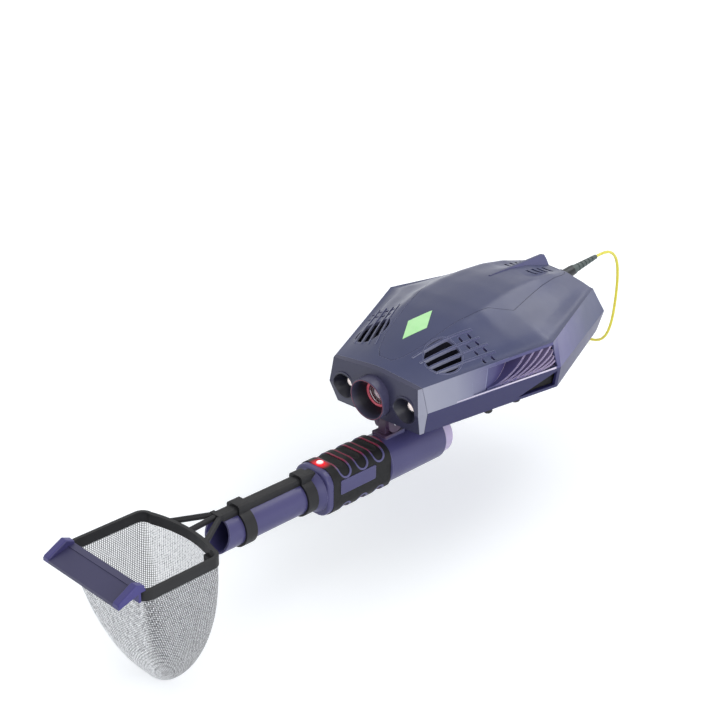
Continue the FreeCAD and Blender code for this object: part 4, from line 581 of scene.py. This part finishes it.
def cameraAndLampTrim(e):
    quarter = (math.radians(90), 0, 0)
    # lens ring: pink-red and glowing at the edge; the glow is painted light standing in for a red reflection on the
    # ring
    glow, shader = newMaterial("pinkRingPaintedGlow", "#c8485c", 0.2,
                               {"Emission Color": linearColour("#d04a60"), "Emission Strength": 0.25,
                                "Coat Weight": 0.4})
    mottled(glow, shader, "#e08a94", "#b23048", 4 * mm, 0.7)
    pebbled(glow, shader, 2 * mm, 0.05 * mm, 0.4)
    ring = turnedRing("lensGlowRing", e["ringRadius"], e["ringWidth"], e["ringLength"],
                      toMetres([(0, e["ringY"], e["axisZ"])])[0], quarter)
    finish(ring, glow, "hull")
    # thin maroon line on the barrel's rim: painted red glow from the lens ring
    rim, shader = newMaterial("maroonRimPaintedGlow", "#7c2a42", 0.35)
    mottled(rim, shader, "#8c3049", "#67233a", 8 * mm)
    pebbled(rim, shader, 0.6 * mm, 0.02 * mm, 0.3)
    line = turnedRing("barrelRimLine", e["rimRadius"], e["rimWidth"], 0.5,
                      toMetres([(0, e["rimY"], e["axisZ"])])[0], quarter)
    finish(line, rim, "hull")
    # light-emitting diode under its lens: warm white and even
    diode, shader = newMaterial("whiteLightEmittingDiode", "#f4f2ec", 0.3,
                                {"Emission Color": linearColour("#f8fff8"), "Emission Strength": 0.9})
    mottled(diode, shader, "#f8f6f0", "#dedcd6", 1.5 * mm)
    for side, word in ((1, "port"), (-1, "starboard")):
        led = steppedDisc(word + "LampDiode", e["ledRadius"], 0.2, [(0.8, 0.04), (1.2, -0.03), (0.8, 0.03)],
                          toMetres([(side * e["lampX"], e["ledY"], e["lampZ"])])[0], quarter)
        finish(led, diode, "hull")


cameraAndLampTrim(eye)


# the wand's own line: how far it slopes, and where its rear end is
wandLine = {"pitch": 7.0, "rearY": -44.6, "rearZ": -70.4}
joint = {"ringPlace": 82.9, "ringRadius": 22.12, "ringWidth": 0.6, "ringLength": 0.7}


def gripStartRing(j, line):
    tilt = math.radians(line["pitch"])
    s = j["ringPlace"] * mm
    centre = (0, line["rearY"] * mm - s * math.cos(tilt), line["rearZ"] * mm + s * math.sin(tilt))
    ring = turnedRing("gripStartRing", j["ringRadius"], j["ringWidth"], j["ringLength"], centre,
                      (math.radians(90) - tilt, 0, 0))
    finish(ring, bpy.data.materials["satinMouldedAbsInlay"], "wand")


gripStartRing(joint, wandLine)
print("trim made")


# tether

tether = {"radius": 1.5, "length": 15.0, "groundZ": -133.0, "tieThick": 0.8, "coilRadius": 25.3, "layers": 10,
          "rows": 10, "perTurn": 12, "stepTurn": 0.25,
          "route": [(0, 203, 11), (0, 217, 11), (-1, 234, 5), (-3, 247, -9), (-6, 254, -32), (-10, 257, -62),
                    (-16, 260, -92), (-28, 266, -116), (-48, 275, -129), (-72, 284, -131.5), (-102, 291, -131.5),
                    (-134, 290, -131.5), (-160, 284, -130.7)]}


def coilPoints(t):
    # flat spiral layers stacked up, out to in and back, one cord width apart
    pitch = 2 * t["radius"]
    last = Vector(t["route"][-1])
    heading = last - Vector(t["route"][-2])
    heading.z = 0
    heading.normalize()
    outer = t["coilRadius"] + (t["layers"] - 1) / 2 * pitch
    centre = last + Vector((-heading.y, heading.x, 0)) * outer
    low = t["groundZ"] + t["tieThick"] + t["radius"]
    startTurn = math.atan2(last.y - centre.y, last.x - centre.x) / math.tau
    tail = Vector((centre.x + t["coilRadius"], centre.y - 27, 0))
    endTurn = math.atan2(tail.y - centre.y, tail.x - centre.x) / math.tau
    rowTurns = t["layers"] - 1
    allTurns = t["rows"] * rowTurns + (t["rows"] - 1) * t["stepTurn"]
    allTurns = math.floor(allTurns - (endTurn - startTurn)) + endTurn - startTurn
    swell = 1 / math.cos(math.pi / t["perTurn"])  # the spline runs inside its points
    points = []
    steps = int(allTurns * t["perTurn"])
    for n in range(1, steps):
        turn = n * allTurns / steps
        row = int(turn // (rowTurns + t["stepTurn"]))
        into = turn - row * (rowTurns + t["stepTurn"])
        rise = max(0.0, into - rowTurns) / t["stepTurn"]
        across = min(into, rowTurns) * pitch
        radius = outer - across if row % 2 == 0 else outer - rowTurns * pitch + across
        angle = (startTurn + turn) * math.tau
        x = centre.x + radius * swell * math.cos(angle)
        y = centre.y + radius * swell * math.sin(angle)
        points.append((x, y, low + (row + rise) * pitch))
    return points, centre, low + (t["rows"] - 1) * pitch


def layTether(t):
    turns, centre, topZ = coilPoints(t)
    start = Vector((centre.x + t["coilRadius"], centre.y - 27, topZ))
    tail = [start, start + Vector((0, 11, 0)), start + Vector((0, 23, 6)), start + Vector((0, 32, 6))]
    points = toMetres(t["route"]) + toMetres(turns) + toMetres(tail)
    data = bpy.data.curves.new("tetherLine", "CURVE")
    data.dimensions = "3D"
    data.bevel_depth = t["radius"] * mm
    data.bevel_resolution = 3
    data.resolution_u = 3
    data.use_fill_caps = True
    spline = data.splines.new("NURBS")
    spline.points.add(len(points) - 1)
    for spot, point in zip(spline.points, points):
        spot.co = (*point, 1.0)
    spline.order_u = 3
    spline.use_endpoint_u = True
    cord = bpy.data.objects.new("yellowTether", data)
    bpy.context.collection.objects.link(cord)
    # polyurethane jacket: waxy yellow, a little light goes in
    jacket, shader = newMaterial("polyurethaneJacketYellow", "#d9cf3c", 0.4, {"Subsurface Weight": 0.1})
    mottled(jacket, shader, "#ded444", "#cdc234", 8 * mm)
    pebbled(jacket, shader, 0.6 * mm, 0.02 * mm, 0.3)
    data.materials.append(jacket)
    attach(cord, "hull")
    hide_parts("tether", "tether_coil")
    # woven hook strap on the coil: dull black threads
    strap, shader = newMaterial("wovenPolyesterStrap", "#1c1c1f", 0.8, {"Sheen Weight": 0.3})
    weave = addNode(strap, "ShaderNodeTexChecker", {"Scale": 1 / (0.8 * mm), "Color1": linearColour("#232327"),
                    "Color2": linearColour("#121214")}, {"Vector": place(strap)})
    strap.node_tree.links.new(weave.outputs["Color"], shader.inputs["Base Color"])
    pebbled(strap, shader, 0.8 * mm, 0.1 * mm, 0.5)
    dress(["coil_ties"], strap)
    boot, shader = newMaterial("mouldedRubberBoot", "#46504f", 0.55)
    mottled(boot, shader, "#4d5857", "#3e4847", 8 * mm)
    pebbled(boot, shader, 0.5 * mm, 0.02 * mm, 0.4)
    dress(["strain_relief"], boot)


layTether(tether)
print("tether laid")


# landing net

bag = {"frameRear": 293.0, "frameFront": 366.0, "halfWidth": 47.0,
       "seat": 1.4, "low": 9.9, "depth": 110.4, "bow": 6.0, "rings": 46, "around": 144, "mesh": 1.9, "thread": 0.32}


def wandPoint(x, s, v):
    tilt = math.radians(wandLine["pitch"])
    return Vector((x, wandLine["rearY"] - s * math.cos(tilt) + v * math.sin(tilt),
                   wandLine["rearZ"] + s * math.sin(tilt) + v * math.cos(tilt))) * mm


def roundedSquare(halfX, halfS, corner, bow, share):
    # point at a share of the arc length round a rounded rectangle whose rear side is bowed; share runs 0 to 1
    straightX = 2 * (halfX - corner)
    straightS = 2 * (halfS - corner)
    arc = math.pi / 2 * corner
    total = 2 * straightX + 2 * straightS + 4 * arc
    run = share * total
    sides = [(straightX, 0), (straightS, 1), (straightX, 2), (straightS, 3)]
    spot = Vector((-halfX + corner, -halfS))
    heading = Vector((1.0, 0.0))
    for length, side in sides:
        if run <= length:
            point = spot + heading * run
            if side == 2:
                across = point.x / max(halfX - corner, 1e-6)
                point.y += bow * (1 - across * across)
            return point
        run -= length
        spot = spot + heading * length
        turn = Vector((-heading.y, heading.x))
        hub = spot + turn * corner
        if run <= arc:
            a = run / corner
            return hub + heading * math.sin(a) * corner - turn * math.cos(a) * corner
        run -= arc
        spot = hub + heading * corner
        heading = turn
    return spot


def makeBag(b):
    # lofted shell that hangs straight down from the frame and sags a little between its corners
    mesh = bmesh.new()
    rings = []
    halfX = b["halfWidth"] - b["seat"]
    halfS = (b["frameFront"] - b["frameRear"]) / 2 - b["seat"]
    middle = (b["frameFront"] + b["frameRear"]) / 2
    for r in range(b["rings"] + 1):
        share = r / b["rings"]
        share = math.sin(share * math.pi / 2)
        size = math.sqrt(max(1 - share ** 2.3, 0))
        corner = min(6 + 22 * share * size, 0.9 * halfS * size)
        ring = []
        for n in range(b["around"]):
            if size < 0.02:
                flat = Vector((0, 0))
            else:
                flat = roundedSquare(halfX * size, halfS * size, max(corner, 0.5), b["bow"] * size, n / b["around"])
            drop = b["depth"] * share
            point = wandPoint(flat.x, middle - flat.y, b["low"])
            point.z -= drop * mm
            if size < 0.02 and ring:
                ring.append(ring[0])
                continue
            ring.append(mesh.verts.new(point))
        rings.append(ring)
    uv = mesh.loops.layers.uv.new("thread")
    for r in range(b["rings"]):
        for n in range(b["around"]):
            m = (n + 1) % b["around"]
            corners = [rings[r][n], rings[r][m], rings[r + 1][m], rings[r + 1][n]]
            spots = [(n, r), (n + 1, r), (n + 1, r + 1), (n, r + 1)]
            if rings[r + 1][m] == rings[r + 1][n]:
                corners = corners[:3]
            face = mesh.faces.new(corners)
            face.smooth = True
            for loop, (i, j) in zip(face.loops, spots):
                loop[uv].uv = (i / b["around"], math.sin(j / b["rings"] * math.pi / 2))
    bmesh.ops.recalc_face_normals(mesh, faces=mesh.faces)
    data = bpy.data.meshes.new("netBag")
    mesh.to_mesh(data)
    area = sum(f.calc_area() for f in mesh.faces)
    mesh.free()
    piece = bpy.data.objects.new("netBagCloth", data)
    bpy.context.collection.objects.link(piece)
    print("net cloth area", round(area, 5))
    return piece, area


def meshCloth(b):
    # knotless polyester net: bright round threads with dark gaps, open between
    material, shader = newMaterial("knotlessPolyesterNet", "#e4e4e6", 0.55, {"Sheen Weight": 0.2})
    coords = addNode(material, "ShaderNodeUVMap", {"uv_map": "thread"})
    parts = addNode(material, "ShaderNodeSeparateXYZ", {}, {"Vector": coords.outputs["UV"]})
    around = 2 * (2 * b["halfWidth"] + b["frameFront"] - b["frameRear"])
    masks = []
    for socket, length in (("X", around), ("Y", 1.25 * b["depth"])):
        count = round(length / b["mesh"])
        run = addNode(material, "ShaderNodeMath", {"operation": "MULTIPLY"}, {0: parts.outputs[socket]})
        run.inputs[1].default_value = count
        wave = addNode(material, "ShaderNodeMath", {"operation": "PINGPONG"}, {0: run.outputs[0]})
        wave.inputs[1].default_value = 0.5
        thread = addNode(material, "ShaderNodeMath", {"operation": "LESS_THAN"}, {0: wave.outputs[0]})
        thread.inputs[1].default_value = b["thread"] / b["mesh"]
        masks.append(thread.outputs[0])
    cloth = addNode(material, "ShaderNodeMath", {"operation": "MAXIMUM"}, {0: masks[0], 1: masks[1]})
    noise = addNode(material, "ShaderNodeTexNoise", {"Scale": 1 / (2.2 * mm), "Detail": 3.0},
                    {"Vector": place(material)})
    ramp = addNode(material, "ShaderNodeValToRGB", {}, {"Fac": noise.outputs["Fac"]})
    ramp.color_ramp.elements[0].position = 0.36
    ramp.color_ramp.elements[1].position = 0.56
    ramp.color_ramp.elements[0].color = linearColour("#8e8e92")
    ramp.color_ramp.elements[1].color = linearColour("#ececee")
    # the side panels, whose faces point along X, are greyer
    grey = addNode(material, "ShaderNodeMix", {"data_type": "RGBA", "blend_type": "MULTIPLY"},
                   {0: facing(material, "X", 0.35, 0.75), 6: ramp.outputs["Color"]})
    grey.inputs[7].default_value = linearColour("#78787c")
    material.node_tree.links.new(grey.outputs[2], shader.inputs["Base Color"])
    material.node_tree.links.new(cloth.outputs[0], shader.inputs["Alpha"])
    return material


netCloth, clothArea = makeBag(bag)
netCloth.data.materials.append(meshCloth(bag))
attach(netCloth, "net")
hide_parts("net_bag")
print("net hung")


# camera, light and floor

view = {"azimuth": 45.58, "elevation": 28.23, "roll": -4.3, "focal": 1270.28, "across": 95.69, "upward": 15.35,
        "distance": 1145.06}


def setCamera(v):
    a, e, roll = (math.radians(v[k]) for k in ("azimuth", "elevation", "roll"))
    back = Vector((math.sin(a) * math.cos(e), -math.cos(a) * math.cos(e), math.sin(e)))
    right = Vector((math.cos(a), math.sin(a), 0))
    up = back.cross(right)
    right, up = (right * math.cos(roll) + up * math.sin(roll), up * math.cos(roll) - right * math.sin(roll))
    data = bpy.data.cameras.new("camera")
    data.sensor_width = 36
    data.lens = v["focal"] / 720 * 36
    data.clip_start = 0.05
    camera = bpy.data.objects.new("camera", data)
    spot = (back * v["distance"] - right * v["across"] - up * v["upward"]) * mm
    camera.matrix_world = Matrix((right, up, back)).transposed().to_4x4()
    camera.location = spot
    bpy.context.collection.objects.link(camera)
    bpy.context.scene.camera = camera


# place and size in metres, power in watts
lamps = {"key": ((1.7, -0.35, 0.7), 1.3, 16.0), "fill": ((-1.3, -0.9, 1.2), 1.4, 4.0),
         "rim": ((0.2, 1.5, 1.4), 1.3, 15.0)}
sweep = {"size": 14, "near": 0.2, "far": 1.4, "nearLift": 0.22, "farLift": 0.7}


def setLamps():
    for name, (spot, size, power) in lamps.items():
        data = bpy.data.lights.new(name, "AREA")
        data.size = size
        data.energy = power
        lamp = bpy.data.objects.new(name, data)
        lamp.location = spot
        lamp.rotation_euler = Vector(spot).to_track_quat("Z", "Y").to_euler()
        bpy.context.collection.objects.link(lamp)


def setFloor(f):
    bpy.ops.object.select_all(action="DESELECT")
    bpy.ops.mesh.primitive_plane_add(size=f["size"], location=(0, 0, tether["groundZ"] * mm))
    floor = bpy.context.object
    floor.name = "floor"
    # matt white paint; seen straight on it is a little brighter, as a lit sweep is
    paint, shader = newMaterial("mattWhitePaintedFloor", "#f6f8fa", 0.9, {"Emission Color": (1, 1, 1, 1)})
    rays = addNode(paint, "ShaderNodeLightPath")
    seen = addNode(paint, "ShaderNodeMath", {"operation": "MAXIMUM"},
                   {0: rays.outputs["Is Camera Ray"], 1: rays.outputs["Is Glossy Ray"]})
    seen = addNode(paint, "ShaderNodeMath", {"operation": "MAXIMUM"},
                   {0: seen.outputs[0], 1: rays.outputs["Is Transmission Ray"]})
    # painted light on the floor: it is lifted more the further it runs from the object, so it stays darker near it
    away = addNode(paint, "ShaderNodeVectorMath", {"operation": "LENGTH"}, {0: place(paint)})
    level = addNode(paint, "ShaderNodeMapRange", {"From Min": f["near"], "From Max": f["far"],
                                                           "To Min": f["nearLift"], "To Max": f["farLift"]},
                    {"Value": away.outputs["Value"]})
    lift = addNode(paint, "ShaderNodeMath", {"operation": "MULTIPLY"}, {0: seen.outputs[0]})
    paint.node_tree.links.new(level.outputs["Result"], lift.inputs[1])
    paint.node_tree.links.new(lift.outputs[0], shader.inputs["Emission Strength"])
    floor.data.materials.append(paint)


def setWorld():
    world = bpy.data.worlds.new("sky")
    world.use_nodes = True
    bpy.context.scene.world = world
    tree = world.node_tree
    light = tree.nodes["Background"]
    light.inputs["Color"].default_value = linearColour("#eef1f4")
    light.inputs["Strength"].default_value = 0.7
    white = tree.nodes.new("ShaderNodeBackground")
    white.inputs["Color"].default_value = (1, 1, 1, 1)
    rays = tree.nodes.new("ShaderNodeLightPath")
    seen = tree.nodes.new("ShaderNodeMath")
    seen.operation = "MAXIMUM"
    tree.links.new(rays.outputs["Is Camera Ray"], seen.inputs[0])
    tree.links.new(rays.outputs["Is Transmission Ray"], seen.inputs[1])
    glossy = tree.nodes.new("ShaderNodeMath")
    glossy.operation = "MAXIMUM"
    tree.links.new(seen.outputs[0], glossy.inputs[0])
    tree.links.new(rays.outputs["Is Glossy Ray"], glossy.inputs[1])
    mix = tree.nodes.new("ShaderNodeMixShader")
    tree.links.new(glossy.outputs[0], mix.inputs[0])
    tree.links.new(light.outputs[0], mix.inputs[1])
    tree.links.new(white.outputs[0], mix.inputs[2])
    tree.links.new(mix.outputs[0], tree.nodes["World Output"].inputs["Surface"])


setCamera(view)
setLamps()
setFloor(sweep)
setWorld()
bpy.context.scene.view_settings.view_transform = "Standard"
print("stage set")
